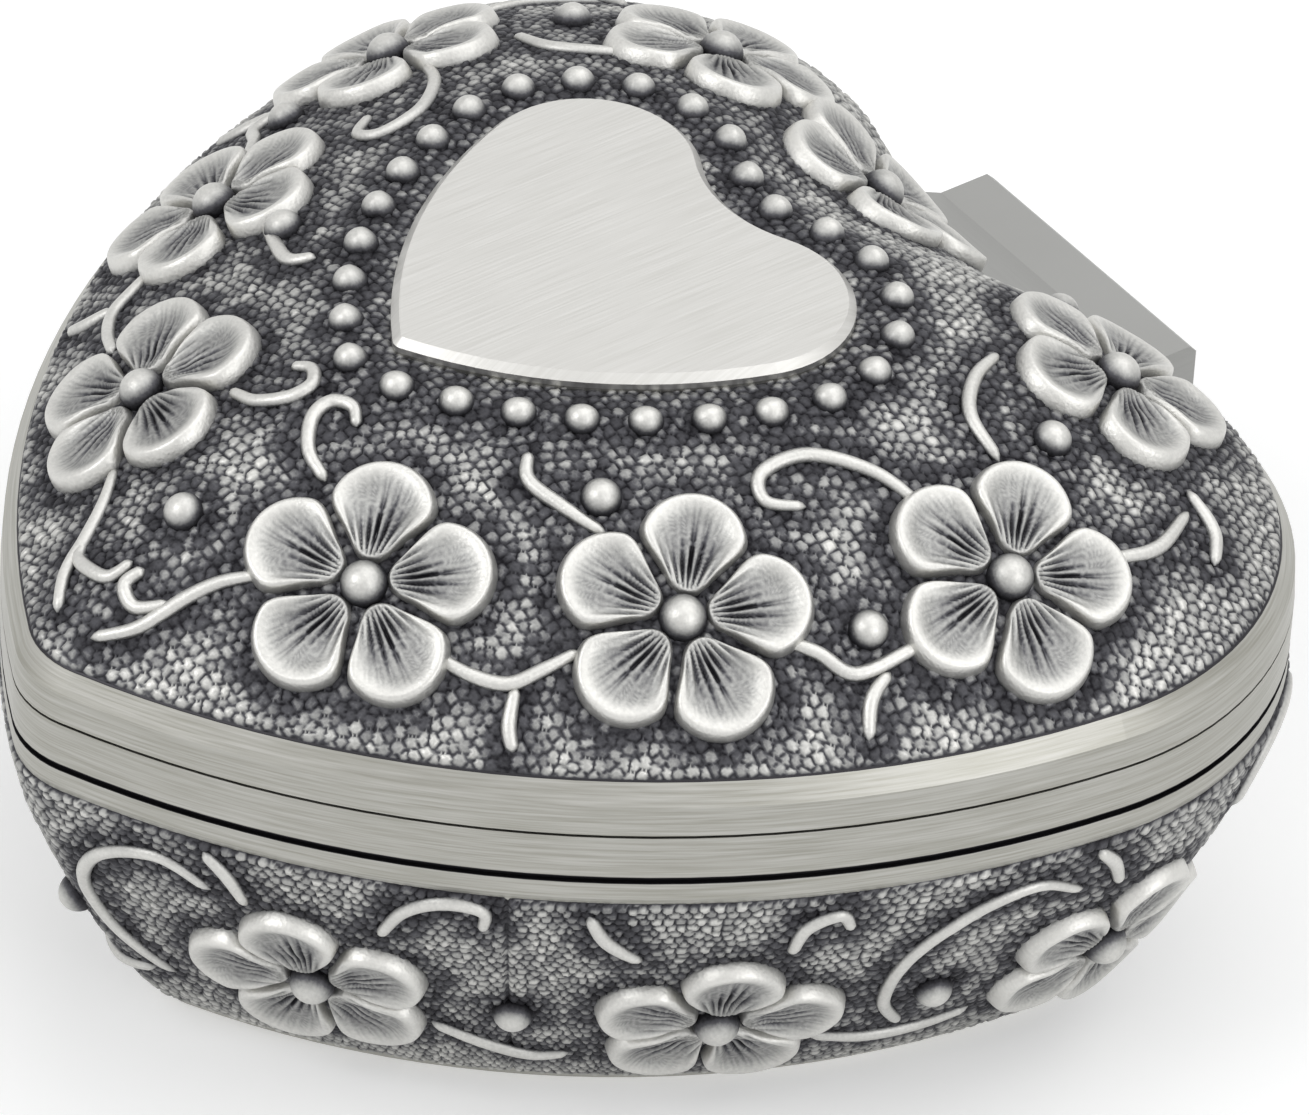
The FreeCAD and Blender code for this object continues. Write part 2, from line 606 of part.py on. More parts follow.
def make_base_shell():
    """Bowl-shaped heart with an upright rim, a floor raised over the key, a ledge, a lip and a tongue."""
    body = new_body("base_shell")
    loft(body, [section(body, outline, level, inset) for level, inset in BOWL])
    pad(body, section(body, outline, "rim_foot", "0"), "rim_height")
    pad(body, section(body, outline, "base_height", "lip_outer"), "lip_height")
    # fine groove round the rim
    ring = new_sketch(body, "XY", "base_height - groove_drop - groove_width")
    outline(ring, "-beyond")
    outline(ring, "groove_depth")
    pocket(body, ring, "groove_width", Reversed=True)
    # tongue of the hinge, rooted in the back wall
    side = new_sketch(body, "YZ", "-tongue_width / 2")
    polygon(side, [("tongue_root", "hinge_z - tongue_foot"), ("hinge_y", "hinge_z - tongue_foot"),
                   ("hinge_y", "hinge_z + tongue_radius"), ("tongue_root", "hinge_z + tongue_radius")])
    pad(body, side, "tongue_width")
    knuckle = new_sketch(body, "YZ", "-tongue_width / 2")
    disc(knuckle, "hinge_y", "hinge_z", "tongue_radius")
    pad(body, knuckle, "tongue_width")
    bore = new_sketch(body, "YZ", "-tongue_width")
    disc(bore, "hinge_y", "hinge_z", "pin_diameter / 2 + running_fit")
    pocket(body, bore, "2 * tongue_width", Reversed=True)
    # space for the movement, then the seat of the cover plate
    inner = [("floor_top", bowl_inset("floor_top") + " + base_wall"),
             ("bowl_rise_2", "bowl_inset_2 + base_wall"),
             ("bowl_rise_1", "bowl_inset_1 + base_wall"), ("ledge_top", "base_wall + ledge_width")]
    loft(body, [section(body, outline, level, inset) for level, inset in inner], cut=True)
    seat_depth = "base_height + lip_height - ledge_top + beyond"
    level_pocket(body, outline, "base_wall", "ledge_top", seat_depth)
    # space for the key
    under = [("0", "bowl_inset_5 + base_wall"), ("bowl_rise_4", "bowl_inset_4 + base_wall"),
             ("recess_depth", bowl_inset("recess_depth") + " + base_wall")]
    loft(body, [section(body, outline, level, inset) for level, inset in under], cut=True)
    # holes in the floor
    drill(body, "arbor_x", "train_y", "bush_radius + tight_fit", "recess_depth - beyond",
          "floor_thickness + 2 * beyond")
    for x, y in BASE_SCREWS:
        drill(body, x, y, "base_screw_radius + base_screw_play", "recess_depth - beyond",
              "floor_thickness + 2 * beyond")


def dome_level(inset):
    """Height of the dome over a point drawn in from the outline: an arc that starts at the band."""
    run = "(dome_radius * sin(dome_slope * 1deg) - (%s) + band_inset)" % inset
    centre = "lid_foot + band_height - dome_radius * cos(dome_slope * 1deg)"
    return "%s + sqrt(dome_radius^2 - %s^2)" % (centre, run)


def dome_sections(body, step_in, step_down):
    """The dome's level sections, which turn from the box's heart at the band into the plaque's at the crown."""
    made = []
    for step in range(DOME_STEPS + 1):
        share = step / DOME_STEPS
        edge = "(band_inset + %s)" % step_in
        margin = "(crown_margin - %s)" % step_in
        pairs = [("lobe_x", "plaque_lobe_x"), ("lobe_y", "plaque_lobe_y"),
                 ("lobe_radius - " + edge, "plaque_lobe_radius + " + margin),
                 ("side_radius - " + edge, "plaque_side_radius + " + margin),
                 ("tip_radius - tip_fade * " + edge, "plaque_tip_radius + " + margin),
                 ("tip_y + " + edge, "plaque_tip_y - " + margin),
                 ("cleft_radius + " + edge, "plaque_cleft_radius - " + margin)]
        level = dome_level("band_inset + %.4f * (crown_inset - band_inset)" % share)
        sketch = new_sketch(body, "XY", "%s - %s" % (level, step_down))
        heart(sketch, *["%.4f * (%s) + %.4f * (%s)" % (1 - share, low, share, high) for low, high in pairs])
        made.append(sketch)
    return made


def make_lid_shell():
    """Domed heart with a smooth band, a raised plaque and the block that covers the hinge."""
    body = new_body("lid_shell")
    band = [("lid_foot", "0"), ("lid_foot + band_shoulder", "band_lean"),
            ("lid_foot + band_height", "band_inset")]
    loft(body, [section(body, outline, level, inset) for level, inset in band])
    loft(body, dome_sections(body, "0", "0"))
    plate = [section(body, plaque, dome_level("crown_inset") + " - plaque_root", "0"),
             section(body, plaque, "lid_foot + plaque_rise - plaque_bevel", "0"),
             section(body, plaque, "lid_foot + plaque_rise", "-plaque_bevel")]
    loft(body, plate)
    # hinge block: flat top and back, round front, and a web up to the lid
    side = new_sketch(body, "YZ", "-hinge_width / 2")
    polygon(side, [("web_start", "lid_foot"), ("hinge_y - hinge_radius", "lid_foot"),
                   ("hinge_y - hinge_radius", "hinge_z"), ("hinge_y", "hinge_z"),
                   ("hinge_y", "hinge_z - hinge_radius"),
                   ("hinge_back - hinge_chamfer", "hinge_z - hinge_foot"),
                   ("hinge_back", "hinge_z - hinge_foot + hinge_chamfer"),
                   ("hinge_back", "hinge_z + hinge_radius - hinge_chamfer"),
                   ("hinge_back - hinge_chamfer", "hinge_z + hinge_radius"),
                   ("web_start + web_run", "hinge_z + hinge_radius"),
                   ("web_start", "lid_foot + web_rise")])
    pad(body, side, "hinge_width")
    barrel = new_sketch(body, "YZ", "-hinge_width / 2")
    disc(barrel, "hinge_y", "hinge_z", "hinge_radius")
    pad(body, barrel, "hinge_width")
    slot = new_sketch(body, "YZ", "-tongue_width / 2 - tongue_side_gap")
    box(slot, "hinge_y - 2 * hinge_radius", "hinge_y + tongue_radius + tongue_side_gap",
        "hinge_z - 2 * hinge_foot", "hinge_z + tongue_radius + tongue_side_gap")
    pocket(body, slot, "tongue_width + 2 * tongue_side_gap", Reversed=True)
    bore = new_sketch(body, "YZ", "-hinge_width")
    disc(bore, "hinge_y", "hinge_z", "pin_diameter / 2 + tight_fit")
    pocket(body, bore, "2 * hinge_width", Reversed=True)
    # rebate over the base's lip, then the hollow under the dome
    level_pocket(body, outline, "lip_outer - lip_gap", "lid_foot", "lip_height + lip_headroom")
    hollow = [section(body, outline, "lid_foot", "lid_wall")]
    loft(body, hollow + dome_sections(body, "dome_step_in", "dome_step_down"), cut=True)


def make_hinge_pin():
    pin = doc.addObject("Part::Cylinder", "hinge_pin")
    pin.setExpression("Radius", tied("pin_diameter / 2"))
    pin.setExpression("Height", tied("hinge_width - 2 * pin_recess"))
    sub_parts.append(place(pin, "pin_recess - hinge_width / 2", "hinge_y", "hinge_z", ALONG_X))


def make_cover_plate():
    """Clear plate over the movement, with a hole for the stop pin."""
    body = new_body("cover_plate")
    pad(body, section(body, outline, "ledge_top", "base_wall + cover_gap"), "cover_thickness")
    drill(body, "stop_x", "stop_y", "stop_radius + running_fit", "ledge_top - beyond",
          "cover_thickness + 2 * beyond")


# ---------------------------------------------------------------- gears
def make_gear(label, teeth, module, width, bore, x, y, z, first="0"):
    """A spur gear along X with straight-sided teeth; first is the angle of one tooth, in degrees from -Z."""
    body = new_body(label, x, y, z, ALONG_X)
    radius = "(%s * %s / 2)" % (teeth, module)
    blank = new_sketch(body)
    disc(blank, "0", "0", "%s - tooth_depth * %s" % (radius, module))
    disc(blank, "0", "0", bore)
    pad(body, blank, width)
    tooth = new_sketch(body)
    tooth.AttachmentOffset = FreeCAD.Placement(Vector(), Rotation(UP, value(first)))
    root = "%s - tooth_depth * %s - overlap" % (radius, module)
    crest = "%s + tooth_height * %s" % (radius, module)
    polygon(tooth, [(root, "-tooth_root * " + module), (crest, "-tooth_crest * " + module),
                    (crest, "tooth_crest * " + module), (root, "tooth_root * " + module)])
    around(body, pad(body, tooth, width), teeth)


def make_drive_gear():
    """Disc with upright teeth, turned by half a tooth so that the pinion's lowest tooth enters a gap."""
    half_tooth = Rotation(UP, 180 / value("crown_teeth"))
    body = new_body("drive_gear", "arbor_x", "train_y", "0", half_tooth)
    blank = new_sketch(body, "XY", "crown_foot")
    disc(blank, "0", "0", "crown_outer")
    disc(blank, "0", "0", "arbor_radius + running_fit")
    pad(body, blank, "crown_disc")
    tooth = new_sketch(body, "YZ", "crown_inner")
    root, crest = "crown_tooth_root * pinion_module", "crown_tooth_crest * pinion_module"
    polygon(tooth, [("-" + root, "crown_root - overlap"), (root, "crown_root - overlap"),
                    (crest, "crown_tip"), ("-" + crest, "crown_tip")])
    around(body, pad(body, tooth, "crown_outer - crown_inner - crown_edge"), "crown_teeth")


# ---------------------------------------------------------------- spring motor
def make_bedplate():
    """Cast plate that carries the movement: comb block, screw bosses and the winding arbor's bearing."""
    body = new_body("bedplate")
    slab(body, "plate_left", "plate_right", "plate_front", "plate_back", "floor_top", "plate_thickness")
    corners = ["Edge%d" % (i + 1) for i, edge in enumerate(body.Shape.Edges)
               if edge.BoundBox.ZLength > value("plate_thickness") - 0.01]
    plate = body.Tip
    rounded = body.newObject("PartDesign::Fillet", "bedplate_corners")
    rounded.Base = (plate, corners)
    rounded.setExpression("Radius", tied("plate_corner"))
    doc.recompute()
    slab(body, "comb_start - comb_margin", "comb_start + comb_width + comb_margin", "comb_back_y",
         "comb_tip_y - comb_bass_slot - comb_margin", "plate_top - overlap", "comb_foot - plate_top + overlap")
    for x, y in BASE_SCREWS:
        post(body, x, y, "boss_radius", "plate_top - overlap", "boss_height + overlap")
        drill(body, x, y, "base_screw_radius + tight_fit", "floor_top - beyond",
              "base_screw_length - floor_thickness + base_screw_tip_gap + beyond")
    post(body, "arbor_x", "train_y", "bush_radius", "plate_top - overlap",
         "ratchet_start - plate_top - ratchet_foot + overlap - tip_gap")
    drill(body, "arbor_x", "train_y", "arbor_radius + running_fit", "floor_top - beyond",
          "crown_foot - floor_top")
    for x, y in FOOT_SCREWS + STRAP_SCREWS:
        drill(body, x, y, "screw_radius + tight_fit", "plate_top - screw_grip - tip_gap", "screw_grip + beyond")
    for x, y in COMB_SCREWS:
        drill(body, x, y, "screw_radius + tight_fit", "comb_foot - comb_screw_grip - tip_gap",
              "comb_screw_grip + beyond")


def make_floor_bush():
    """Brass bush that lines the hole in the floor round the winding arbor."""
    body = new_body("floor_bush", "arbor_x", "train_y")
    profile = new_sketch(body, "XZ")
    box(profile, "arbor_radius + running_fit", "bush_radius", "recess_depth", "floor_top")
    turned(body, profile)


def make_winding_arbor():
    """Stepped steel arbor: thread for the key, body through the spring, pivot in the strap."""
    body = new_body("winding_arbor", "arbor_x", "train_y")
    post(body, "0", "0", "key_thread_radius", "key_clearance + key_cap + tip_gap",
         "key_top - key_clearance - key_cap - tip_gap")
    post(body, "0", "0", "arbor_radius", "key_top", "can_top - key_top - running_fit")
    post(body, "0", "0", "arbor_pivot_radius", "can_top - overlap", "strap_thickness + overlap")


def make_ratchet_wheel():
    """Saw-toothed wheel fixed on the arbor, so that winding does not turn the drive gear."""
    body = new_body("ratchet_wheel", "arbor_x", "train_y", "ratchet_start")
    blank = new_sketch(body)
    disc(blank, "0", "0", "ratchet_radius - ratchet_root")
    disc(blank, "0", "0", "arbor_radius + tight_fit")
    pad(body, blank, "ratchet_thickness")
    tooth = new_sketch(body)
    root = "ratchet_radius - ratchet_root - 2 * overlap"
    polygon(tooth, [(root, "-ratchet_face"), ("ratchet_radius - ratchet_tip", "-ratchet_face"),
                    (root, "ratchet_slope")])
    around(body, pad(body, tooth, "ratchet_thickness"), "ratchet_teeth")


def make_ratchet_click():
    """Springy pawl riveted under the drive gear, its tip by the ratchet's teeth."""
    body = new_body("ratchet_click", "arbor_x", "train_y", "ratchet_start")
    post(body, "-click_x", "-click_y", "click_rivet_radius", "0", "crown_foot - ratchet_start")
    leaf = new_sketch(body)
    polygon(leaf, [("-click_x - click_root", "-click_y"),
                   ("-click_x + click_shoulder_x", "-click_y - click_shoulder_y"),
                   ("-ratchet_radius - click_toe", "click_toe_y"),
                   ("-ratchet_radius - click_tip", "click_tip_y"),
                   ("-ratchet_radius - click_bite", "click_bite_y")])
    pad(body, leaf, "click_share * ratchet_thickness")


def make_spring_housing():
    """Steel can round the mainspring, open at the top."""
    body = new_body("spring_housing", "arbor_x", "train_y", "can_foot")
    post(body, "0", "0", "spring_can_radius", "0", "spring_can_height")
    drill(body, "0", "0", "spring_can_radius - spring_can_wall", "spring_can_wall", "spring_can_height")
    drill(body, "0", "0", "arbor_radius + spring_can_bore_gap", "-beyond", "spring_can_height")


def make_housing_lid():
    body = new_body("housing_lid", "arbor_x", "train_y", "can_top - spring_can_wall")
    ring = new_sketch(body)
    disc(ring, "0", "0", "spring_can_radius - spring_can_wall - tight_fit")
    disc(ring, "0", "0", "arbor_radius + spring_can_bore_gap")
    pad(body, ring, "spring_can_wall")


def make_mainspring():
    """Flat spiral strip from the arbor to the can's wall."""
    coils = int(value("spring_coils"))
    start = value("arbor_radius + running_fit")
    end = value("spring_can_radius - spring_can_wall - running_fit - spring_thickness")
    strip = value("spring_thickness")
    turns = [i / 24 for i in range(24 * coils + 1)]
    rails = []
    for offset in (0, strip):
        points = [Rotation(UP, 360 * turn) * Vector(start + (end - start) * turn / coils + offset, 0, 0)
                  for turn in turns]
        curve = Part.BSplineCurve()
        curve.interpolate(points)
        rails.append(curve.toShape())
    ends = [Part.makeLine(rails[0].Vertexes[i].Point, rails[1].Vertexes[i].Point) for i in (0, 1)]
    face = Part.Face(Part.Wire([rails[0], ends[1], rails[1], ends[0]]))
    spring = doc.addObject("Part::Feature", "mainspring")
    spring.Shape = face.extrude(Vector(0, 0, value("spring_height")))
    middle = "can_foot + (spring_can_height - spring_height) / 2"
    sub_parts.append(place(spring, "arbor_x", "train_y", middle))


def make_spring_strap():
    """Bent strip over the spring housing that holds it down and carries the arbor's upper pivot."""
    body = new_body("spring_strap", "arbor_x", "train_y")
    half, inside, outside = "strap_width / 2", "strap_leg", "strap_leg + strap_thickness"
    slab(body, "-" + half, half, "-(%s)" % outside, outside, "can_top", "strap_thickness")
    for low, high, toe in (("-(%s)" % outside, "-" + inside, "-(strap_leg - tab_length)"),
                           (inside, outside, "strap_leg - tab_length")):
        slab(body, "-" + half, half, low, high, "plate_top", "can_top - plate_top + overlap")
        near, far = (high, toe) if low.startswith("-") else (toe, low)
        slab(body, "-" + half, half, near + " - overlap", far + " + overlap", "plate_top",
             "foot_thickness")
    drill(body, "0", "0", "arbor_pivot_radius + running_fit", "can_top - beyond",
          "strap_thickness + 2 * beyond")
    for side in "-", "":
        foot_hole(body, "0", side + "strap_screw")


def make_winding_key():
    """Low wing key: a hub and two round eared wings."""
    body = new_body("winding_key", "arbor_x", "train_y", "0", Rotation(UP, value("key_angle")))
    post(body, "0", "0", "key_hub_radius", "key_clearance", "key_top - key_clearance")
    middle = "key_clearance + key_height / 2"
    wing = new_sketch(body, "XZ", "-key_thickness / 2")
    box(wing, "-key_ear", "key_ear", middle + " - key_wing_share * key_height",
        middle + " + key_wing_share * key_height")
    pad(body, wing, "key_thickness")
    for side in "-", "":
        ear = new_sketch(body, "XZ", "-key_thickness / 2")
        disc(ear, side + "key_ear", middle, "key_height / 2")
        pad(body, ear, "key_thickness")
        eye = new_sketch(body, "XZ", "-key_thickness")
        disc(eye, side + "key_ear", middle, "key_eye_share * key_height")
        pocket(body, eye, "2 * key_thickness", Reversed=True)
    drill(body, "0", "0", "key_thread_radius + tight_fit", "key_clearance + key_cap", "key_top")


# ---------------------------------------------------------------- cylinder
def make_cylinder():
    """Brass tube with end caps on a steel arbor, studded with pins that pluck the comb."""
    tube = new_body("cylinder_tube", "tube_start", "train_y", "axis_z", ALONG_X)
    ring = new_sketch(tube)
    disc(ring, "0", "0", "cylinder_radius")
    disc(ring, "0", "0", "cylinder_radius - cylinder_wall")
    pad(tube, ring, "cylinder_length")
    caps = []
    for start in 0, value("cylinder_length - 2 * cylinder_wall"):
        cap = Part.makeCylinder(value("cylinder_radius - cylinder_wall - tight_fit"),
                                value("2 * cylinder_wall"), Vector(0, 0, start))
        bore = Part.makeCylinder(value("cylinder_arbor_diameter / 2 + tight_fit"),
                                 value("cylinder_length"), Vector(0, 0, 0))
        caps.append(cap.cut(bore))
    group("cylinder_caps", caps, "tube_start", "train_y", "axis_z", ALONG_X)
    rows = int(value("needle_rows"))
    first_track = value("comb_start - tube_start + comb_pitch / 2")
    scatter, margin = value("needle_scatter"), value("needle_margin")
    track_step, row_step = value("needle_track_step"), value("needle_row_step")
    needles = []
    for track in range(int(value("comb_teeth"))):
        for row in range(rows):
            drift = (scatter * (track_step * track + row_step * row)) % 1
            angle = (row + margin + (1 - 2 * margin) * drift) * 360 / rows
            needle = Part.makeCylinder(value("needle_diameter / 2"), value("cylinder_wall + needle_rise"),
                                       Vector(value("cylinder_radius - cylinder_wall"), 0, 0), Vector(1, 0, 0))
            needle.rotate(Vector(), UP, angle)
            needle.translate(Vector(0, 0, first_track + track * value("comb_pitch")))
            needles.append(needle)
    group("cylinder_needles", needles, "tube_start", "train_y", "axis_z", ALONG_X)
    arbor = doc.addObject("Part::Cylinder", "cylinder_arbor")
    arbor.setExpression("Radius", tied("cylinder_arbor_diameter / 2"))
    arbor.setExpression("Height", tied("right_bracket + bracket_thickness + end_gap - pinion_start"))
    sub_parts.append(place(arbor, "pinion_start", "train_y", "axis_z", ALONG_X))


def group(label, solids, x="0", y="0", z="0", turn=None):
    """Several separate solids in one sub-part."""
    thing = doc.addObject("Part::Feature", label)
    thing.Shape = Part.makeCompound(solids)
    sub_parts.append(place(thing, x, y, z, turn))


def make_bearing(label, start):
    """Upright plate with a foot, which carries one end of the cylinder's arbor."""
    body = new_body(label)
    low, high = "train_y - bracket_width / 2", "train_y + bracket_width / 2"
    slab(body, start, start + " + bracket_thickness", low, high, "plate_top",
         "axis_z + bracket_crown - plate_top")
    slab(body, start, start + " + foot_width", low + " - bracket_foot", low, "plate_top", "foot_thickness")
    bore = new_sketch(body, "YZ", start + " - beyond")
    disc(bore, "train_y", "axis_z", "cylinder_arbor_diameter / 2 + running_fit")
    pocket(body, bore, "bracket_thickness + 2 * beyond", Reversed=True)
    foot_hole(body, start + " + foot_width / 2", "bearing_screw_y")


def make_comb():
    """Steel comb: thin teeth over the gap, and a thicker root with a slanted front."""
    body = new_body("comb", "comb_start", "comb_back_y", "comb_foot")
    slab(body, "0", "comb_width", "0", "comb_length", "0", "comb_thickness")
    slot = new_sketch(body, "XY", "-beyond")
    box(slot, "comb_pitch - comb_slot / 2", "comb_pitch + comb_slot / 2", "comb_length - comb_bass_slot",
        "comb_length + beyond")
    cut = pocket(body, slot, "comb_thickness + 2 * beyond", Reversed=True)
    row = body.newObject("PartDesign::LinearPattern", "comb_slots")
    row.Originals = [cut]
    row.Direction = ([o for o in body.Origin.OriginFeatures if o.Role == "X_Axis"][0], [""])
    row.setExpression("Length", tied("(comb_teeth - 2) * comb_pitch"))
    row.setExpression("Occurrences", tied("comb_teeth - 1"))
    body.Tip = row
    doc.recompute()
    root = new_sketch(body, "XY", "comb_thickness - overlap")
    slots_end = "comb_length - comb_bass_slot"
    polygon(root, [("0", "0"), ("comb_width", "0"), ("comb_width", slots_end + " - comb_root_treble"),
                   ("0", slots_end + " - comb_root_bass")])
    pad(body, root, "comb_root_rise + overlap")
    for x in "comb_screw_side", "comb_width - comb_screw_side":
        drill(body, x, "comb_screw_back", "screw_radius + screw_play", "-beyond", "comb_thickness + 3 * beyond")


# ---------------------------------------------------------------- governor
def make_governor_frame():
    """Bent frame: foot, two cheeks for the wheel's arbor, and an arm over the fan for the worm's top pivot."""
    body = new_body("governor_frame")
    low, high = "leaf_y - cheek_half", "leaf_y + cheek_half"
    arm_front = "worm_y + fan_radius + fan_clearance"
    arm_back = arm_front + " + foot_thickness"
    slab(body, "governor_left", "governor_right + bracket_thickness", low, arm_back, "plate_top",
         "foot_thickness")
    for x in "governor_left", "governor_right":
        slab(body, x, x + " + bracket_thickness", low, high, "plate_top", "axis_z + cheek_half - plate_top")
    slab(body, "worm_x - cheek_half", "worm_x + cheek_half", arm_front, arm_back, "plate_top",
         "bridge_foot + foot_thickness - plate_top")
    slab(body, "worm_x - cheek_half", "worm_x + cheek_half", "worm_y - cheek_half", arm_back, "bridge_foot",
         "foot_thickness")
    bore = new_sketch(body, "YZ", "governor_left - beyond")
    disc(bore, "leaf_y", "axis_z", "governor_diameter / 2 + running_fit")
    pocket(body, bore, "governor_right - governor_left + bracket_thickness + 3 * beyond", Reversed=True)
    for foot in "plate_top + foot_thickness / 2", "bridge_foot - tip_gap":
        drill(body, "worm_x", "worm_y", "pivot_radius + running_fit", foot, "foot_thickness + beyond")
    foot_hole(body, *FOOT_SCREWS[2])


def make_governor_arbor():
    arbor = doc.addObject("Part::Cylinder", "governor_arbor")
    arbor.setExpression("Radius", tied("governor_diameter / 2"))
    arbor.setExpression("Height", tied("governor_right + bracket_thickness - governor_left - tip_gap"))
    sub_parts.append(place(arbor, "governor_left + tip_gap / 2", "leaf_y", "axis_z", ALONG_X))


def make_worm_shaft():
    """Upright shaft with a one-start worm that the governor's wheel spins."""
    body = new_body("worm_shaft", "worm_x", "worm_y")
    foot, top = "plate_top + foot_thickness / 2 + running_fit", "bridge_foot + foot_thickness - tip_gap"
    post(body, "0", "0", "pivot_radius", foot, "%s - (%s)" % (top, foot))
    post(body, "0", "0", "governor_diameter / 2", "plate_top + foot_thickness + tip_gap",
         "bridge_foot - plate_top - foot_thickness - 2 * tip_gap")
    post(body, "0", "0", "worm_core", "worm_top - worm_pitch * (worm_turns + worm_end)",
         "worm_pitch * (worm_turns + 2 * worm_end)")
    start = "axis_z - worm_pitch * (worm_turns / 2 - worm_end)"
    profile = new_sketch(body, "XZ")
    polygon(profile, [("worm_core - overlap", start + " - worm_root_share * worm_pitch"),
                      ("worm_radius", start + " - worm_crest_share * worm_pitch"),
                      ("worm_radius", start + " + worm_crest_share * worm_pitch"),
                      ("worm_core - overlap", start + " + worm_root_share * worm_pitch")])
    thread = body.newObject("PartDesign::AdditiveHelix", "worm_thread")
    thread.Profile = profile
    thread.ReferenceAxis = (profile, ["V_Axis"])
    thread.Mode = 0
    thread.setExpression("Pitch", tied("worm_pitch"))
    thread.setExpression("Height", tied("worm_pitch * (worm_turns - 2 * worm_end)"))
    doc.recompute()


def make_fan():
    """Two-bladed air brake on the worm shaft."""
    body = new_body("governor_fan", "worm_x", "worm_y", "fan_foot")
    post(body, "0", "0", "fan_radius / 3", "0", "fan_height")
    slab(body, "-fan_thickness / 2", "fan_thickness / 2", "-fan_radius", "fan_radius", "0", "fan_height")
    drill(body, "0", "0", "governor_diameter / 2 + tight_fit", "-beyond", "fan_height + 2 * beyond")


# ---------------------------------------------------------------- stop
def make_stop_bracket():
    """Bent bracket that carries the stop lever's pivot."""
    body = new_body("stop_bracket")
    left, right = "lever_x - post_width / 2", "lever_x + post_width / 2"
    slab(body, left, right, "plate_back - tab_length", "plate_back", "plate_top", "foot_thickness")
    slab(body, left, right, "plate_back - foot_thickness", "plate_back", "plate_top",
         "lever_level + lever_eye_radius - plate_top")
    bore = new_sketch(body, "XZ", "-plate_back - beyond")
    disc(bore, "lever_x", "lever_level", "lever_pivot_radius + tight_fit")
    pocket(body, bore, "foot_thickness + 2 * beyond", Reversed=True)
    foot_hole(body, *FOOT_SCREWS[3])


def make_lever_pivot():
    pivot = doc.addObject("Part::Cylinder", "lever_pivot")
    pivot.setExpression("Radius", tied("lever_pivot_radius"))
    pivot.setExpression("Height", tied("stop_y + lever_thickness - plate_back + foot_thickness"))
    sub_parts.append(place(pivot, "lever_x", "plate_back - foot_thickness", "lever_level", ALONG_Y))


def make_stop_lever():
    """Lever that the pin presses down, whose finger then stands by the fan."""
    body = new_body("stop_lever")
    front, back = "stop_y - lever_thickness / 2", "stop_y + lever_thickness / 2"
    slab(body, "lever_x", "finger_end", front, back, "lever_foot", "lever_height")
    slab(body, "finger_end - finger_width", "finger_end", "worm_y - finger_width", back, "lever_foot",
         "lever_height")
    eye = new_sketch(body, "XZ", "-(%s)" % back)
    disc(eye, "lever_x", "lever_level", "lever_eye_radius")
    pad(body, eye, "%s - plate_back - tip_gap" % back)
    hole = new_sketch(body, "XZ", "-(%s) - beyond" % back)
    disc(hole, "lever_x", "lever_level", "lever_pivot_radius + running_fit")
    pocket(body, hole, "%s - plate_back + 2 * beyond" % back, Reversed=True)


def make_stop_pin():
    """Pin through the cover plate that the closed lid presses, with a collar that keeps it in."""
    body = new_body("stop_pin", "stop_x", "stop_y")
    post(body, "0", "0", "stop_radius", "lever_top + running_fit", "stop_top - lever_top - running_fit")
    post(body, "0", "0", "stop_collar_radius", "ledge_top - stop_travel - stop_collar_height",
         "stop_collar_height")


def make_stop_spring():
    """Leaf spring on the bracket that lifts the lever when the lid opens."""
    body = new_body("stop_spring")
    hook, top = "stop_x + leaf_hook", "lever_foot - running_fit"
    behind = "plate_back + leaf_thickness"
    slab(body, "lever_x - post_width / 2", hook, "plate_back", behind, "leaf_level", "leaf_width")
    slab(body, "stop_x", hook, "plate_back", behind, "leaf_level", top + " - leaf_level")
    slab(body, "stop_x", hook, "plate_back", "stop_y + lever_thickness / 2", top + " - leaf_thickness",
         "leaf_thickness")


# ---------------------------------------------------------------- screws
def make_screws(label, spots, seat, grip, shank, head, rise, slot_turn=20):
    """Slotted screws that enter downward, or upward where the head's rise is negative."""
    made = []
    for index, (x, y) in enumerate(spots):
        way = -1 if rise.startswith("-") else 1
        at = Vector(value(x), value(y), value(seat))
        tall = abs(value(rise))
        cap = Part.makeCylinder(value(head), tall, at, Vector(0, 0, way))
        stem = Part.makeCylinder(value(shank), value(grip), at, Vector(0, 0, -way))
        width = value("screw_slot")
        slot = Part.makeBox(4 * value(head), width, tall, Vector(-2 * value(head), -width / 2, 0))
        slot.rotate(Vector(), UP, slot_turn + 70 * index)
        slot.translate(at + Vector(0, 0, tall / 2 if way > 0 else -1.5 * tall))
        made.append(cap.fuse(stem).removeSplitter().cut(slot))
    group(label, made)


make_base_shell()
make_lid_shell()
make_hinge_pin()
make_cover_plate()
make_bedplate()
make_floor_bush()
make_winding_arbor()
make_ratchet_wheel()
make_ratchet_click()
make_drive_gear()
make_spring_housing()
make_housing_lid()
make_mainspring()
make_spring_strap()
make_winding_key()
make_cylinder()
make_gear("cylinder_pinion", "pinion_teeth", "pinion_module", "pinion_width",
          "cylinder_arbor_diameter / 2 + tight_fit", "pinion_start", "train_y", "axis_z")
make_gear("cylinder_gear", "wheel_teeth", "wheel_module", "wheel_width",
          "cylinder_arbor_diameter / 2 + tight_fit", "wheel_start", "train_y", "axis_z", "90")
make_bearing("left_bearing", "left_bracket")
make_bearing("right_bearing", "right_bracket")
make_comb()
make_governor_frame()
make_governor_arbor()
make_gear("governor_pinion", "leaf_teeth", "wheel_module", "wheel_width",
          "governor_diameter / 2 + tight_fit", "wheel_start", "leaf_y", "axis_z", "-90 + 180 / leaf_teeth")
make_gear("governor_wheel", "worm_wheel_teeth", "worm_wheel_module", "wheel_width",
          "governor_diameter / 2 + tight_fit", "worm_x - wheel_width / 2", "leaf_y", "axis_z", "90")
make_worm_shaft()
make_fan()
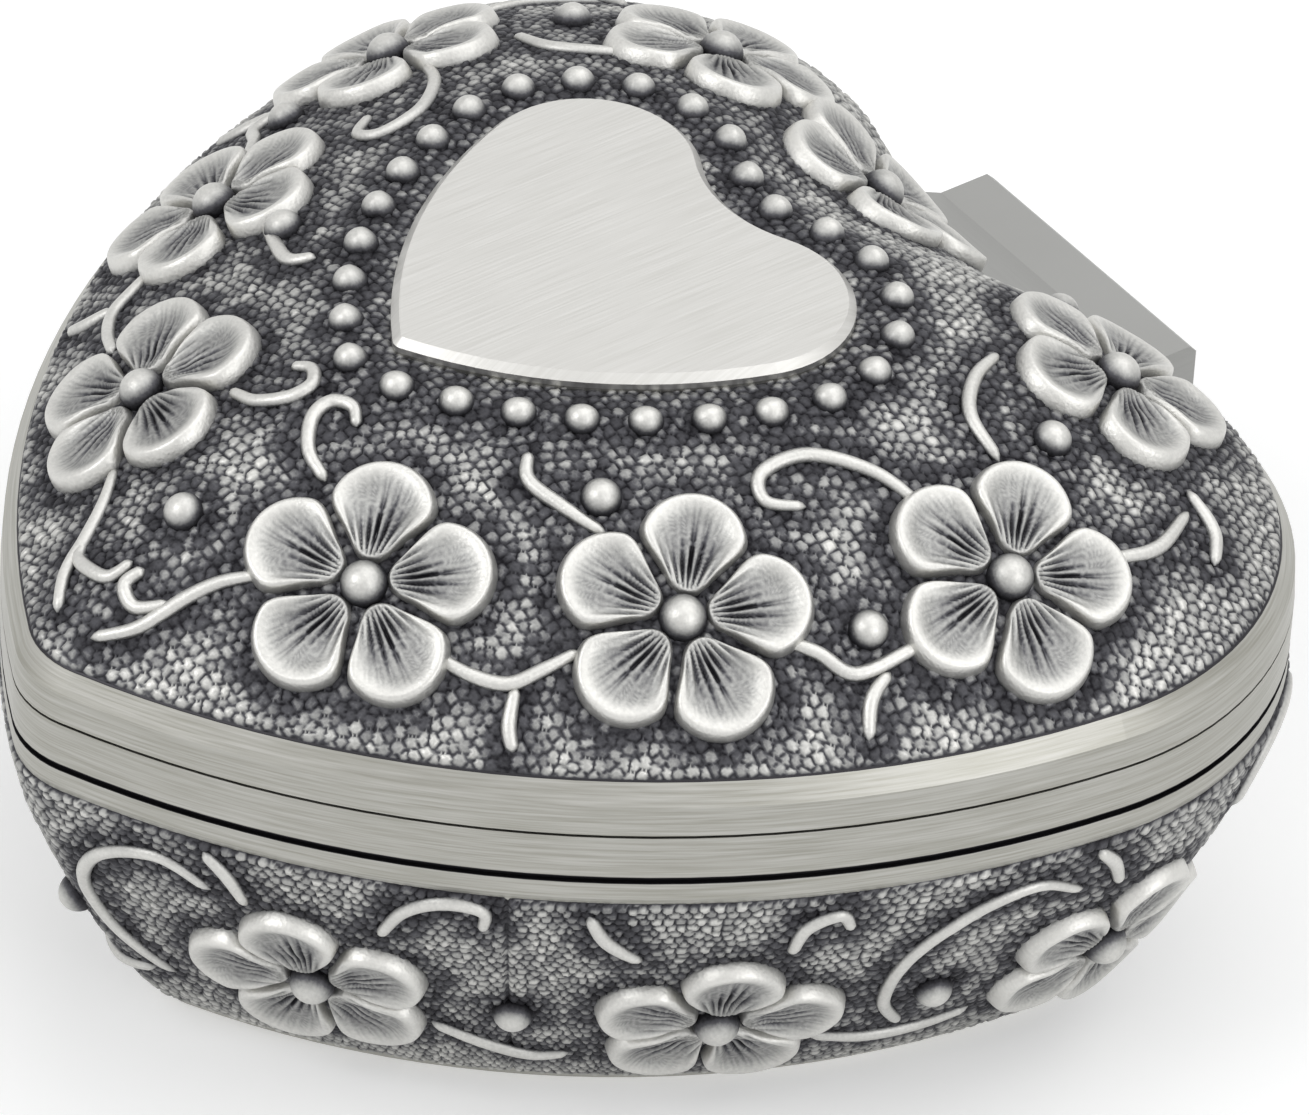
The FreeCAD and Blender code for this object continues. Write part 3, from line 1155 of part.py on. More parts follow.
make_stop_bracket()
make_lever_pivot()
make_stop_lever()
make_stop_pin()
make_stop_spring()
make_screws("frame_screws", FOOT_SCREWS, "plate_top + foot_thickness", "foot_thickness + screw_grip",
            "screw_radius", "screw_head_radius", "screw_head_height")
make_screws("strap_screws", STRAP_SCREWS, "plate_top + foot_thickness", "foot_thickness + screw_grip",
            "screw_radius", "screw_head_radius", "screw_head_height")
make_screws("comb_screws", COMB_SCREWS, "comb_foot + comb_thickness + comb_root_rise",
            "comb_thickness + comb_root_rise + comb_screw_grip", "screw_radius", "screw_head_radius",
            "screw_head_height")
make_screws("movement_screws", BASE_SCREWS, "recess_depth", "base_screw_length",
            "base_screw_radius", "base_screw_head", "-base_head_share * screw_head_height")


# ---------------------------------------------------------------- checks and files
doc.recompute()
for thing in doc.Objects:
    if "Invalid" in thing.State or "Error" in thing.State:
        raise ValueError("%s failed: %s" % (thing.Name, thing.State))
os.makedirs("parts", exist_ok=True)
for sub_part in sub_parts:
    shape = sub_part.Shape
    if shape.isNull() or not shape.isValid():
        raise ValueError("%s has no valid shape" % sub_part.Label)
for sub_part in sub_parts:
    sub_part.Shape.exportStep("parts/%s.step" % sub_part.Label)
    box_size = sub_part.Shape.BoundBox
    print("%-22s %2d solids %9.2f mm3  x %.2f %.2f  y %.2f %.2f  z %.2f %.2f" % (
        sub_part.Label, len(sub_part.Shape.Solids), sub_part.Shape.Volume, box_size.XMin, box_size.XMax,
        box_size.YMin, box_size.YMax, box_size.ZMin, box_size.ZMax))
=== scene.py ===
# %% [markdown]
# # A heart-shaped music box in antiqued pewter
# The real box is a thin casting. Its maker pressed flowers, stems and beads into the mould, plated the
# casting, darkened it all over, and then rubbed it, so that the dark finish stays only in the hollows.
# This lesson loads the box's metal parts as a fixed frame, then lays the relief on them. The frame is in
# metres, and so is everything in Blender, but sizes on the box are easier to think of in millimetres. So
# they are written in millimetres here and multiplied by MM.

# %% Load the frame
import bmesh
import bpy
import json
import math
import random
import numpy as np
from mathutils import Matrix, Vector, kdtree
from mathutils.bvhtree import BVHTree


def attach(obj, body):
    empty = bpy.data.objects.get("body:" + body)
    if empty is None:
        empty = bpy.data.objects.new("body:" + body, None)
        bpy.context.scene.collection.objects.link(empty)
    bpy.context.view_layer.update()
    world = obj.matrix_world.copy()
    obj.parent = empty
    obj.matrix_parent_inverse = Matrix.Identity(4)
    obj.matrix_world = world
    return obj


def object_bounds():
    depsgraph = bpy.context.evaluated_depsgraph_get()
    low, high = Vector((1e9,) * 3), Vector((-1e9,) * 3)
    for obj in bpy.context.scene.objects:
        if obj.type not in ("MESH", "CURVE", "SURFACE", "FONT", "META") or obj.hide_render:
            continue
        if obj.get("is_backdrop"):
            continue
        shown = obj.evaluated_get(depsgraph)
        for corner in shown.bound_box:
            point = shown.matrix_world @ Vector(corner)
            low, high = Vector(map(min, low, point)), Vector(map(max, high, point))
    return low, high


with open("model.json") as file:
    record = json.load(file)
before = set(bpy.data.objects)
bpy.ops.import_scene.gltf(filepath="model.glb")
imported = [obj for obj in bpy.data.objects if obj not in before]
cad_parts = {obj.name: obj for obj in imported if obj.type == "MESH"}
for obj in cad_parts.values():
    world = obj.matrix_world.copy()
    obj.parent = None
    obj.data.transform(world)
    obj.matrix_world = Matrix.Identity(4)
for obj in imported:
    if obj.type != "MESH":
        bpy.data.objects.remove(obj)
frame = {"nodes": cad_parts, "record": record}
nodes = frame["nodes"]
MM = 0.001
cad_low, cad_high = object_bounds()
print("box of the frame, mm:", [round(x / MM, 1) for x in (*cad_low, *cad_high)])

# %% [markdown]
# ## Camera
# A long lens from well above shows the dome and the front of the base together, with little
# perspective. The camera turns a little about its own line of sight, as a hand-held one does. It could
# be aimed with a Track To constraint, but that leaves no way to turn it about its own line. So its matrix
# is put together from three directions: to its right, to its top, and from what it looks at back to it.

# %% Make the camera
AZIMUTH, ELEVATION, ROLL = math.radians(52.25), math.radians(39.22), math.radians(3.18)
LOOKS_AT, DISTANCE = Vector((9.36, -0.58, 29.5)) * MM, 0.72051
back = Vector((math.sin(AZIMUTH) * math.cos(ELEVATION), -math.cos(AZIMUTH) * math.cos(ELEVATION),
               math.sin(ELEVATION)))
right = (-back).cross(Vector((0, 0, 1))).normalized()
above = right.cross(-back)
right, above = (right * math.cos(ROLL) + above * math.sin(ROLL),
                above * math.cos(ROLL) - right * math.sin(ROLL))
camera = bpy.data.objects.new("camera", bpy.data.cameras.new("camera"))
camera.data.lens, camera.data.sensor_width = 314.05, 36
camera.matrix_world = Matrix.Translation(LOOKS_AT + back * DISTANCE) @ \
    Matrix((right, above, back)).transposed().to_4x4()
bpy.context.scene.collection.objects.link(camera)
bpy.context.scene.camera = camera
bpy.context.scene.view_settings.view_transform = "Standard"
print("camera stands", round(camera.location.length, 3), "m from the origin")

# %% [markdown]
# ## Nodes, colours and light
# Every material below is put together by one small function that adds a node, sets its values and
# links its inputs. Colours are written as on a screen, and a second function turns them to the linear
# values that the renderer works in.
# The box stands on white paper under three large soft lamps, which give metal broad, quiet highlights.
# Brighter lamps would turn the paper white, but would bleach the pewter too. So the lamps stay modest, and
# the paper and the world look white to whoever sees them, directly, in a mirror or through the clear
# plate, while the diffuse light that they throw on the box is weaker than that.

# %% Helpers for materials
def linear(code, alpha=1.0):
    parts = [int(code[i:i + 2], 16) / 255 for i in (1, 3, 5)]
    return [c / 12.92 if c <= 0.04045 else ((c + 0.055) / 1.055) ** 2.4 for c in parts] + [alpha]


def add(tree, kind, links=None, values=None, stops=(), **settings):
    """Adds a node; values go to its sockets, links are other nodes' sockets, and stops colour a ramp."""
    node = tree.nodes.new(kind)
    for name, setting in settings.items():
        setattr(node, name, setting)
    while len(stops) > len(node.color_ramp.elements if stops else ()):
        node.color_ramp.elements.new(0.5)
    for i, (place, code) in enumerate(stops):
        node.color_ramp.elements[i].position = place
        node.color_ramp.elements[i].color = linear(code)
    for name, number in (values or {}).items():
        node.inputs[name].default_value = number
    for name, socket in (links or {}).items():
        tree.links.new(socket, node.inputs[name])
    return node


def new_material(name):
    material = bpy.data.materials.new(name)
    material.use_nodes = True
    material.node_tree.nodes.clear()
    return material, material.node_tree


print("a screen grey of #808080 is", round(linear("#808080")[0], 3), "in linear light")


# %% Floor, world and lamps
def seen_directly(tree):
    """1 where the camera, a mirror-like surface or a clear plate looks, 0 for light on its way to things."""
    path = add(tree, "ShaderNodeLightPath")
    mirrored = add(tree, "ShaderNodeMath",
                   {0: path.outputs["Is Camera Ray"], 1: path.outputs["Is Glossy Ray"]}, operation="MAXIMUM")
    return add(tree, "ShaderNodeMath", {0: mirrored.outputs[0], 1: path.outputs["Is Transmission Ray"]},
               operation="MAXIMUM").outputs[0]


def make_stage():
    world = bpy.data.worlds.new("studio")
    bpy.context.scene.world = world
    world.use_nodes = True
    tree = world.node_tree
    tree.nodes.clear()
    soft = add(tree, "ShaderNodeBackground", values={"Color": linear("#eceded"), "Strength": 0.55})
    white = add(tree, "ShaderNodeBackground", values={"Color": (1, 1, 1, 1), "Strength": 1.0})
    mix = add(tree, "ShaderNodeMixShader", {0: seen_directly(tree), 1: soft.outputs[0], 2: white.outputs[0]})
    add(tree, "ShaderNodeOutputWorld", {"Surface": mix.outputs[0]})
    bm = bmesh.new()
    bmesh.ops.create_grid(bm, x_segments=1, y_segments=1, size=1.5)
    mesh = bpy.data.meshes.new("floor")
    bm.to_mesh(mesh)
    bm.free()
    floor = bpy.data.objects.new("floor", mesh)
    bpy.context.scene.collection.objects.link(floor)
    material, tree = new_material("white_paper_sweep")
    paper = add(tree, "ShaderNodeBsdfDiffuse", values={"Color": linear("#f2f2f2")})
    glow = add(tree, "ShaderNodeEmission", values={"Color": (1, 1, 1, 1), "Strength": 0.30})
    nothing = add(tree, "ShaderNodeEmission", values={"Strength": 0.0})
    seen = add(tree, "ShaderNodeMixShader", {0: seen_directly(tree), 1: nothing.outputs[0],
                                             2: glow.outputs[0]})
    both = add(tree, "ShaderNodeAddShader", {0: paper.outputs[0], 1: seen.outputs[0]})
    add(tree, "ShaderNodeOutputMaterial", {"Surface": both.outputs[0]})
    mesh.materials.append(material)
    floor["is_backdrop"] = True


MIDDLE = Vector((0, 0, 20 * MM))


def lamp(name, place, size, power):
    """A rectangular lamp that faces the middle of the box; places and sizes in metres, power in watts."""
    light = bpy.data.lights.new(name, "AREA")
    light.shape, light.size, light.size_y, light.energy = "RECTANGLE", size[0], size[1], power
    thing = bpy.data.objects.new(name, light)
    thing.location = place
    thing.rotation_euler = (MIDDLE - Vector(place)).to_track_quat("-Z", "Y").to_euler()
    bpy.context.scene.collection.objects.link(thing)


make_stage()
lamp("big_softbox", (0.10, 0.35, 1.00), (1.2, 1.2), 4.2)
lamp("front_softbox", (-0.15, -0.70, 0.70), (0.45, 0.45), 2.2)
lamp("side_softbox", (0.85, 0.10, 0.45), (0.5, 0.5), 1.6)

# %% [markdown]
# ## The two pewter finishes
# Antiqued pewter is a bright tin-rich plating under a nearly black sulphide. Rubbing takes the black
# off whatever stands proud. Each relief piece carries an attribute called wear, 0 where the black
# stays and 1 where it is rubbed off, and the material turns that into colour and gloss.
# The rim, the lid's band and the small heart are not antiqued but brushed with an abrasive wheel,
# which leaves fine parallel scratches: along the band, and from front to back over the small heart.
# These areas belong to one casting, so they could be separate pieces or separate material slots. The
# frame's mesh stays as it is, so one material tells them apart by height and place instead.

# %% Antiqued pewter
def antiqued_pewter():
    """Plated, blackened and rubbed: dark and dull in the hollows, pale and softly bright on top."""
    material, tree = new_material("antiqued_pewter_casting")
    wear = add(tree, "ShaderNodeAttribute", attribute_name="wear")
    place = add(tree, "ShaderNodeTexCoord")
    # waves per metre: cloudy patches of patina about 3 mm wide, and grain of a quarter of a millimetre
    cloud = add(tree, "ShaderNodeTexNoise", {"Vector": place.outputs["Object"]},
                {"Scale": 330.0, "Detail": 4.0})
    grain = add(tree, "ShaderNodeTexNoise", {"Vector": place.outputs["Object"]},
                {"Scale": 4200.0, "Detail": 3.0})
    shift = add(tree, "ShaderNodeMath", {0: cloud.outputs["Fac"]}, {1: 0.26, 2: -0.25},
                operation="MULTIPLY_ADD")
    speckled = add(tree, "ShaderNodeMath", {0: grain.outputs["Fac"], 2: shift.outputs[0]}, {1: 0.24},
                   operation="MULTIPLY_ADD")
    rubbed = add(tree, "ShaderNodeMath", {0: wear.outputs["Fac"], 1: speckled.outputs[0]}, operation="ADD",
                 use_clamp=True)
    colour = add(tree, "ShaderNodeValToRGB", {"Fac": rubbed.outputs[0]},
                 stops=[(0.0, "#1f1e22"), (0.3, "#555559"), (0.62, "#a3a3a1"), (1.0, "#d6d5d1")])
    rough = add(tree, "ShaderNodeMapRange", {"Value": rubbed.outputs[0]}, {"To Min": 0.64, "To Max": 0.43})
    bump = add(tree, "ShaderNodeBump", {"Height": grain.outputs["Fac"]},
               {"Strength": 0.35, "Distance": 0.00010})
    shader = add(tree, "ShaderNodeBsdfPrincipled",
                 {"Base Color": colour.outputs["Color"], "Roughness": rough.outputs[0],
                  "Normal": bump.outputs[0]}, {"Metallic": 0.9})
    add(tree, "ShaderNodeOutputMaterial", {"Surface": shader.outputs[0]})
    return material


pewter_relief = antiqued_pewter()
print("made", pewter_relief.name)

# %% Brushed pewter
# the cleft is part of a circle about a point behind the box, and the hinge block stands inside it; mm
CLEFT_Y, CLEFT_RADIUS, BLOCK_HALF_WIDTH = 62.27, 29.95, 11.0
HEART_FOOT = 45.9


def brushed_pewter(name, dark_low, dark_high):
    """Streaky and half bright. The outside between two heights in millimetres is left black, because
    there the metal shows only at the edge of the pebbled ground, or is the bottom of a groove."""
    material, tree = new_material(name)
    coordinates = add(tree, "ShaderNodeTexCoord")
    place = coordinates.outputs["Object"]
    # waves per metre: scratches about 0.15 mm apart and 6 mm long
    band = add(tree, "ShaderNodeMapping", {"Vector": place}, {"Scale": (160, 160, 6500)})
    over = add(tree, "ShaderNodeMapping", {"Vector": place}, {"Scale": (6500, 150, 150)})
    spot = add(tree, "ShaderNodeSeparateXYZ", {"Vector": place}).outputs
    on_heart = add(tree, "ShaderNodeMath", {0: spot["Z"]}, {1: HEART_FOOT * MM}, operation="GREATER_THAN")
    scratch = []
    for mapping in (band, over):
        scratch.append(add(tree, "ShaderNodeTexNoise", {"Vector": mapping.outputs[0]},
                           {"Scale": 1.0, "Detail": 3.0}).outputs["Fac"])
    lines = add(tree, "ShaderNodeMix", {0: on_heart.outputs[0], 2: scratch[0], 3: scratch[1]})
    # the band, and all below the small heart's foot, is a step darker than the heart: painted shade, for the
    # darker surroundings that the upright metal mirrors
    band_painted_shade = add(tree, "ShaderNodeValToRGB", {"Fac": lines.outputs[0]},
               stops=[(0.3, "#98978f"), (0.7, "#b3b2ad")])
    fresh = add(tree, "ShaderNodeValToRGB", {"Fac": lines.outputs[0]},
                stops=[(0.3, "#c9c8c4"), (0.7, "#d3d2cf")])
    clean = add(tree, "ShaderNodeMix", {"Factor": on_heart.outputs[0], 6: band_painted_shade.outputs["Color"],
                                        7: fresh.outputs["Color"]}, data_type="RGBA")
    # how far a place is to the side, and, seen from above, from the middle of the cleft's circle
    across = add(tree, "ShaderNodeMath", {0: spot["X"]}, operation="ABSOLUTE").outputs[0]
    level = add(tree, "ShaderNodeVectorMath", {0: place}, {1: (1, 1, 0)}, operation="MULTIPLY")
    from_cleft = add(tree, "ShaderNodeVectorMath", {0: level.outputs[0]}, {1: (0, CLEFT_Y * MM, 0)},
                     operation="DISTANCE").outputs["Value"]
    # outside means that the surface faces away from the middle of the box
    offset = add(tree, "ShaderNodeVectorMath", {0: place}, {1: MIDDLE}, operation="SUBTRACT")
    facing = add(tree, "ShaderNodeVectorMath", {0: offset.outputs[0], 1: coordinates.outputs["Normal"]},
                 operation="DOT_PRODUCT").outputs["Value"]
    areas = {
        "block": [(across, "LESS_THAN", BLOCK_HALF_WIDTH), (from_cleft, "LESS_THAN", CLEFT_RADIUS)],
        "black": [(spot["Z"], "GREATER_THAN", dark_low), (spot["Z"], "LESS_THAN", dark_high),
                  (facing, "GREATER_THAN", 0.0)]}
    # an area is where all its tests pass, so their results, 0 or 1, are multiplied
    inside = {}
    for area, tests in areas.items():
        for socket, operation, number in tests:
            passed = add(tree, "ShaderNodeMath", {0: socket}, {1: number * MM}, operation=operation)
            if area in inside:
                passed = add(tree, "ShaderNodeMath", {0: inside[area], 1: passed.outputs[0]},
                             operation="MULTIPLY")
            inside[area] = passed.outputs[0]
    # the hinge block gets one even grey instead of the streaky brushed colours, and a rougher surface
    dulled = add(tree, "ShaderNodeMix", {"Factor": inside["block"], 6: clean.outputs[2]},
                 {7: linear("#a1a19f")}, data_type="RGBA")
    colour = add(tree, "ShaderNodeMix", {"Factor": inside["black"], 6: dulled.outputs[2]},
                 {7: linear("#3a393c")}, data_type="RGBA")
    rough = add(tree, "ShaderNodeMapRange", {"Value": lines.outputs[0]}, {"To Min": 0.34, "To Max": 0.50})
    rougher = add(tree, "ShaderNodeMath", {0: inside["block"], 2: rough.outputs[0]}, {1: 0.16},
                  operation="MULTIPLY_ADD")
    bump = add(tree, "ShaderNodeBump", {"Height": lines.outputs[0]},
               {"Strength": 0.25, "Distance": 0.00005})
    shader = add(tree, "ShaderNodeBsdfPrincipled",
                 {"Base Color": colour.outputs[2], "Roughness": rougher.outputs[0],
                  "Normal": bump.outputs[0]}, {"Metallic": 1.0})
    add(tree, "ShaderNodeOutputMaterial", {"Surface": shader.outputs[0]})
    return material


# black on the lid from its band up to the small heart's edge, and on the base in the groove of its rim
pewter_lid = brushed_pewter("brushed_pewter_lid", 33.05, 45.6)
pewter_base = brushed_pewter("brushed_pewter_base", 25.7, 26.25)
print("made", pewter_lid.name, "and", pewter_base.name)

# %% [markdown]
# ## Seating relief on the metal
# Cast relief follows the surface under it. So each piece is modelled flat, in millimetres, and each of
# its points is then dropped along one direction onto the frame's surface and lifted by its own height.
# A Shrinkwrap modifier does much the same, but it would flatten the relief onto the surface first. A BVH
# tree answers where a line meets the surface, and leaves each point's own height alone.

# %% Surfaces to seat things on
def tree_of(node):
    mesh = nodes[node].data
    return BVHTree.FromPolygons([v.co[:] for v in mesh.vertices], [p.vertices[:] for p in mesh.polygons])


lid_tree, base_tree = tree_of("lid_shell"), tree_of("base_shell")


def on_lid(x, y):
    """The point of the dome over x, y in millimetres, and its outward direction."""
    spot, normal, *_ = lid_tree.ray_cast(Vector((x * MM, y * MM, 0.08)), Vector((0, 0, -1)))
    return spot, normal


def on_base(angle, z):
    """The point of the base's outside at an angle in degrees and a height in millimetres."""
    way = Vector((math.cos(math.radians(angle)), math.sin(math.radians(angle)), 0))
    spot, normal, *_ = base_tree.ray_cast(way * 0.09 + Vector((0, 0, z * MM)), -way)
    return spot, normal


def held_in(spot):
    """Keeps a point within the box of the frame, because cast relief never stands out past the rim."""
    return Vector(min(max(c, low), high) for c, low, high in zip(spot, cad_low, cad_high))


def laid(points, spot, normal, turn, tree):
    """Flat points in millimetres, laid on the surface round a spot; turn is in degrees about the normal."""
    first = Vector((0, 0, 1)).cross(normal) if abs(normal.z) < 0.999 else Vector((1, 0, 0))
    first.normalize()
    second = normal.cross(first)
    c, s = math.cos(math.radians(turn)), math.sin(math.radians(turn))
    out = []
    for x, y, z in points:
        # the line starts 6 mm over the surface and ends 8 mm under it
        flat = spot + first * ((c * x - s * y) * MM) + second * ((s * x + c * y) * MM)
        seat = tree.ray_cast(flat + normal * 6 * MM, -normal, 14 * MM)[0] or tree.find_nearest(flat)[0]
        out.append(held_in(seat + normal * (z * MM)))
    return out


spot, normal = on_lid(24.5, -9.5)
print("the dome at 24.5, -9.5 stands at", round(spot.z / MM, 2), "mm")

# %% [markdown]
# ## One flower
# Each flower has five broad petals. A petal is a dished disc with a thick rolled rim, and fine grooves
# run out over it from the flower's middle. It could be sculpted by hand, but then its five copies would
# need the same care each time it changes. So a row of points is spun into a disc, which gives neat rings
# to shape: the disc is stretched to the petal's outline, and every point gets its height by a formula.
# The same formula gives wear, because a rolled rim is rubbed bright and a groove stays dark.

# %% Model a petal
def smooth(low, high, x):
    t = min(1.0, max(0.0, (x - low) / (high - low)))
    return t * t * (3 - 2 * t)


PETAL_MIDDLE, PETAL_HALF, GROOVE_EVERY = 4.80, 3.50, 8.0


def petal_shape(along, across):
    """Height and wear at a place of the flat disc; along and across run from -1 to 1."""
    x = PETAL_MIDDLE + PETAL_HALF * along
    # the petal narrows towards the flower's middle
    y = PETAL_HALF * across * (0.56 + 0.44 * smooth(-0.75, 0.25, along))
    rim = math.hypot(along, across)
    # the outermost 13 % of the way to the rim turns down in a quarter round
    fallen = math.sqrt(max(0.0, 1 - (max(0.0, rim - 0.87) / 0.13) ** 2))
    root = 1 - smooth(1.4, 4.6, x)
    z = -0.60 + 1.95 * fallen - 0.52 * (1 - smooth(0.40, 0.87, rim)) - 0.50 * root
    angle = math.degrees(math.atan2(y, x))
    groove = round(angle / GROOVE_EVERY)
    length = 5.6 + 0.9 * math.sin(5.1 * groove + 1.0)
    cut = (0.5 + 0.5 * math.cos(math.tau * angle / GROOVE_EVERY)) ** 2 * smooth(1.5, 2.1, x) \
        * (1 - smooth(length - 2.6, length + 0.4, x)) * (1 - smooth(0.80, 0.93, rim))
    streak = math.cos(math.tau * angle / 3.4 + math.sin(0.9 * angle)) * (1 - smooth(0.60, 0.85, rim))
    wear = 0.55 + 0.42 * smooth(0.46, 0.86, rim) - 0.60 * cut - 0.20 * root \
        - 0.85 * smooth(0.97, 1.0, rim) + 0.07 * streak
    return (x, y, z - 0.34 * cut), max(0.0, min(1.0, wear))


def build_petal(bm):
    rings, steps = 22, 80
    # the rings crowd towards the rim, where the petal turns down
    row = [bm.verts.new((1 - (1 - i / rings) ** 1.6, 0, 0)) for i in range(rings + 1)]
    edges = [bm.edges.new(pair) for pair in zip(row, row[1:])]
    bmesh.ops.spin(bm, geom=row + edges, cent=(0, 0, 0), axis=(0, 0, 1), angle=math.tau, steps=steps,
                   use_merge=True)
    bmesh.ops.remove_doubles(bm, verts=bm.verts, dist=1e-5)
    wear = bm.verts.layers.float["wear"]
    for v in bm.verts:
        v.co, v[wear] = petal_shape(v.co.x, v.co.y)


def build_bead(bm, radius, rise):
    """A round bead that stands in the surface; rise is how high its middle is."""
    made = bmesh.ops.create_uvsphere(bm, u_segments=24, v_segments=14, radius=radius)["verts"]
    wear = bm.verts.layers.float["wear"]
    for v in made:
        v[wear] = 0.04 + 0.88 * smooth(0.05, 1.0, v.co.z / radius)
        v.co.z += rise


def template(build):
    """A flat model that is copied later; build fills a bmesh, and an open foot is closed."""
    bm = bmesh.new()
    bm.verts.layers.float.new("wear")
    build(bm)
    open_edges = [e for e in bm.edges if e.is_boundary]
    if open_edges:
        foot = bmesh.ops.holes_fill(bm, edges=open_edges, sides=0)["faces"]
        bmesh.ops.triangulate(bm, faces=foot)
    bmesh.ops.recalc_face_normals(bm, faces=bm.faces)
    mesh = bpy.data.meshes.new("template")
    bm.to_mesh(mesh)
    bm.free()
    return mesh


def build_flower(bm):
    for i in range(5):
        start = len(bm.verts)
        bm.from_mesh(one_petal)
        bm.verts.ensure_lookup_table()
        bmesh.ops.rotate(bm, verts=bm.verts[start:], cent=(0, 0, 0),
                         matrix=Matrix.Rotation(math.radians(72 * i), 3, "Z"))
    build_bead(bm, 1.50, 0.45)


one_petal = template(build_petal)
flower = template(build_flower)
bead = template(lambda bm: build_bead(bm, 1.15, 0.15))
lone_bead = template(lambda bm: build_bead(bm, 1.30, 0.25))
print("one petal has", len(one_petal.polygons), "faces, and one flower", len(flower.polygons))

# %% [markdown]
# ## Relief on the lid
# Nine flowers stand round the dome, nearly mirrored left and right, with a ring of beads round the
# small heart. The ring's places come from the small heart's own outline: the frame is cut level just
# under the heart's bevel, and the cut is drawn out by the beads' distance.

# %% Flowers and lone beads of the lid
def spread(name, places, tree, body):
    """places is a list of (model, spot, normal, turn); all the copies become one piece.

    The models' faces already point outwards, and laying them down doesn't turn them."""
    bm = bmesh.new()
    bm.verts.layers.float.new("wear")
    for model, spot, normal, turn in places:
        start = len(bm.verts)
        bm.from_mesh(model)
        bm.verts.ensure_lookup_table()
        fresh = bm.verts[start:]
        for v, place in zip(fresh, laid([v.co[:] for v in fresh], spot, normal, turn, tree)):
            v.co = place
    for face in bm.faces:
        face.smooth = True
    mesh = bpy.data.meshes.new(name)
    bm.to_mesh(mesh)
    bm.free()
    piece = bpy.data.objects.new(name, mesh)
    bpy.context.scene.collection.objects.link(piece)
    mesh.materials.append(pewter_relief)
    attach(piece, body)
    print(name, "has", len(mesh.polygons), "faces in", len(places), "copies")
    return piece


LID_FLOWERS = [(11.8, -24.8, 20), (24.9, -10.2, 8), (32.4, 9.2, -16), (20.8, 26.3, 40), (-4.0, 26.2, 10),
               (-18.0, 23.6, 60), (-31.5, 7.2, 30), (-24.5, -11.1, 0), (-11.1, -25.6, 25)]
LID_BEADS = [(0.5, -30.5), (16.5, -10.5), (31.0, -0.5), (25.5, 17.5), (-16.5, -11.5), (-30.5, -1.5),
             (-26.5, 18.0), (10.5, 30.0)]
places = [(flower, *on_lid(x, y), turn) for x, y, turn in LID_FLOWERS]
places += [(lone_bead, *on_lid(x, y), 0) for x, y in LID_BEADS]
lid_flowers = spread("lid_flowers", places, lid_tree, "lid")

# %% Beads round the small heart
# the height of the cut, the beads' distance from the heart in mm, and how many they are
RING_CUT, RING_OUT, RING_BEADS = 46.1, 2.7, 28


def small_heart_outline(level):
    """The corners of a level cut through the small heart, in order round it."""
    bm = bmesh.new()
    bm.from_mesh(nodes["lid_shell"].data)
    cut = bmesh.ops.bisect_plane(bm, geom=bm.verts[:] + bm.edges[:] + bm.faces[:], dist=1e-7,
                                 plane_co=(0, 0, level), plane_no=(0, 0, 1))["geom_cut"]
    points = [(v.co.x, v.co.y) for v in cut if isinstance(v, bmesh.types.BMVert)]
    bm.free()
    return sorted(set(points), key=lambda p: math.atan2(p[1] - 2 * MM, p[0]))


def ring_places(outline, out, count):
    """Evenly spaced places on the outline after it is drawn out, in millimetres."""
    loop = np.array(outline)
    turned = np.roll(loop, -1, 0) - np.roll(loop, 1, 0)
    loop = loop + out * np.stack([turned[:, 1], -turned[:, 0]], 1) / np.linalg.norm(turned, axis=1)[:, None]
    loop = np.vstack([loop, loop[:1]])
    walked = np.concatenate([[0], np.cumsum(np.linalg.norm(np.diff(loop, axis=0), axis=1))])
    steps = np.arange(count) / count * walked[-1]
    return [(np.interp(s, walked, loop[:, 0]) / MM, np.interp(s, walked, loop[:, 1]) / MM) for s in steps]


outline = small_heart_outline(RING_CUT * MM)
ring = ring_places(outline, RING_OUT * MM, RING_BEADS)
lid_ring = spread("lid_bead_ring", [(bead, *on_lid(x, y), 0) for x, y in ring], lid_tree, "lid")

# %% [markdown]
# ## Stems
# Thin stems curl between the flowers. Each is a curve through a few chosen points, dropped onto the
# surface, with a round section that tapers to its ends. A section could be extruded along an edge step by
# step. A curve is quicker: its bevel makes the round section, each point's radius makes the taper, and
# it is turned into a mesh at the end. The sides of a stem near the metal stay dark.

# %% Draw stems
# a stem's half thickness, and the height of its middle over the surface; mm
STEM, STEM_RISE = 0.52, 0.28


def through(points, steps=10):
    """Points of a smooth line through the given ones (Catmull-Rom)."""
    p = [Vector(q) for q in points]
    p = [2 * p[0] - p[1]] + p + [2 * p[-1] - p[-2]]
    out = []
    for a, b, c, d in zip(p, p[1:], p[2:], p[3:]):
        for i in range(steps):
            t = i / steps
            out.append(0.5 * (2 * b + (c - a) * t + (2 * a - 5 * b + 4 * c - d) * t * t
                              + (3 * b - a - 3 * c + d) * t ** 3))
    return out + [p[-2]]


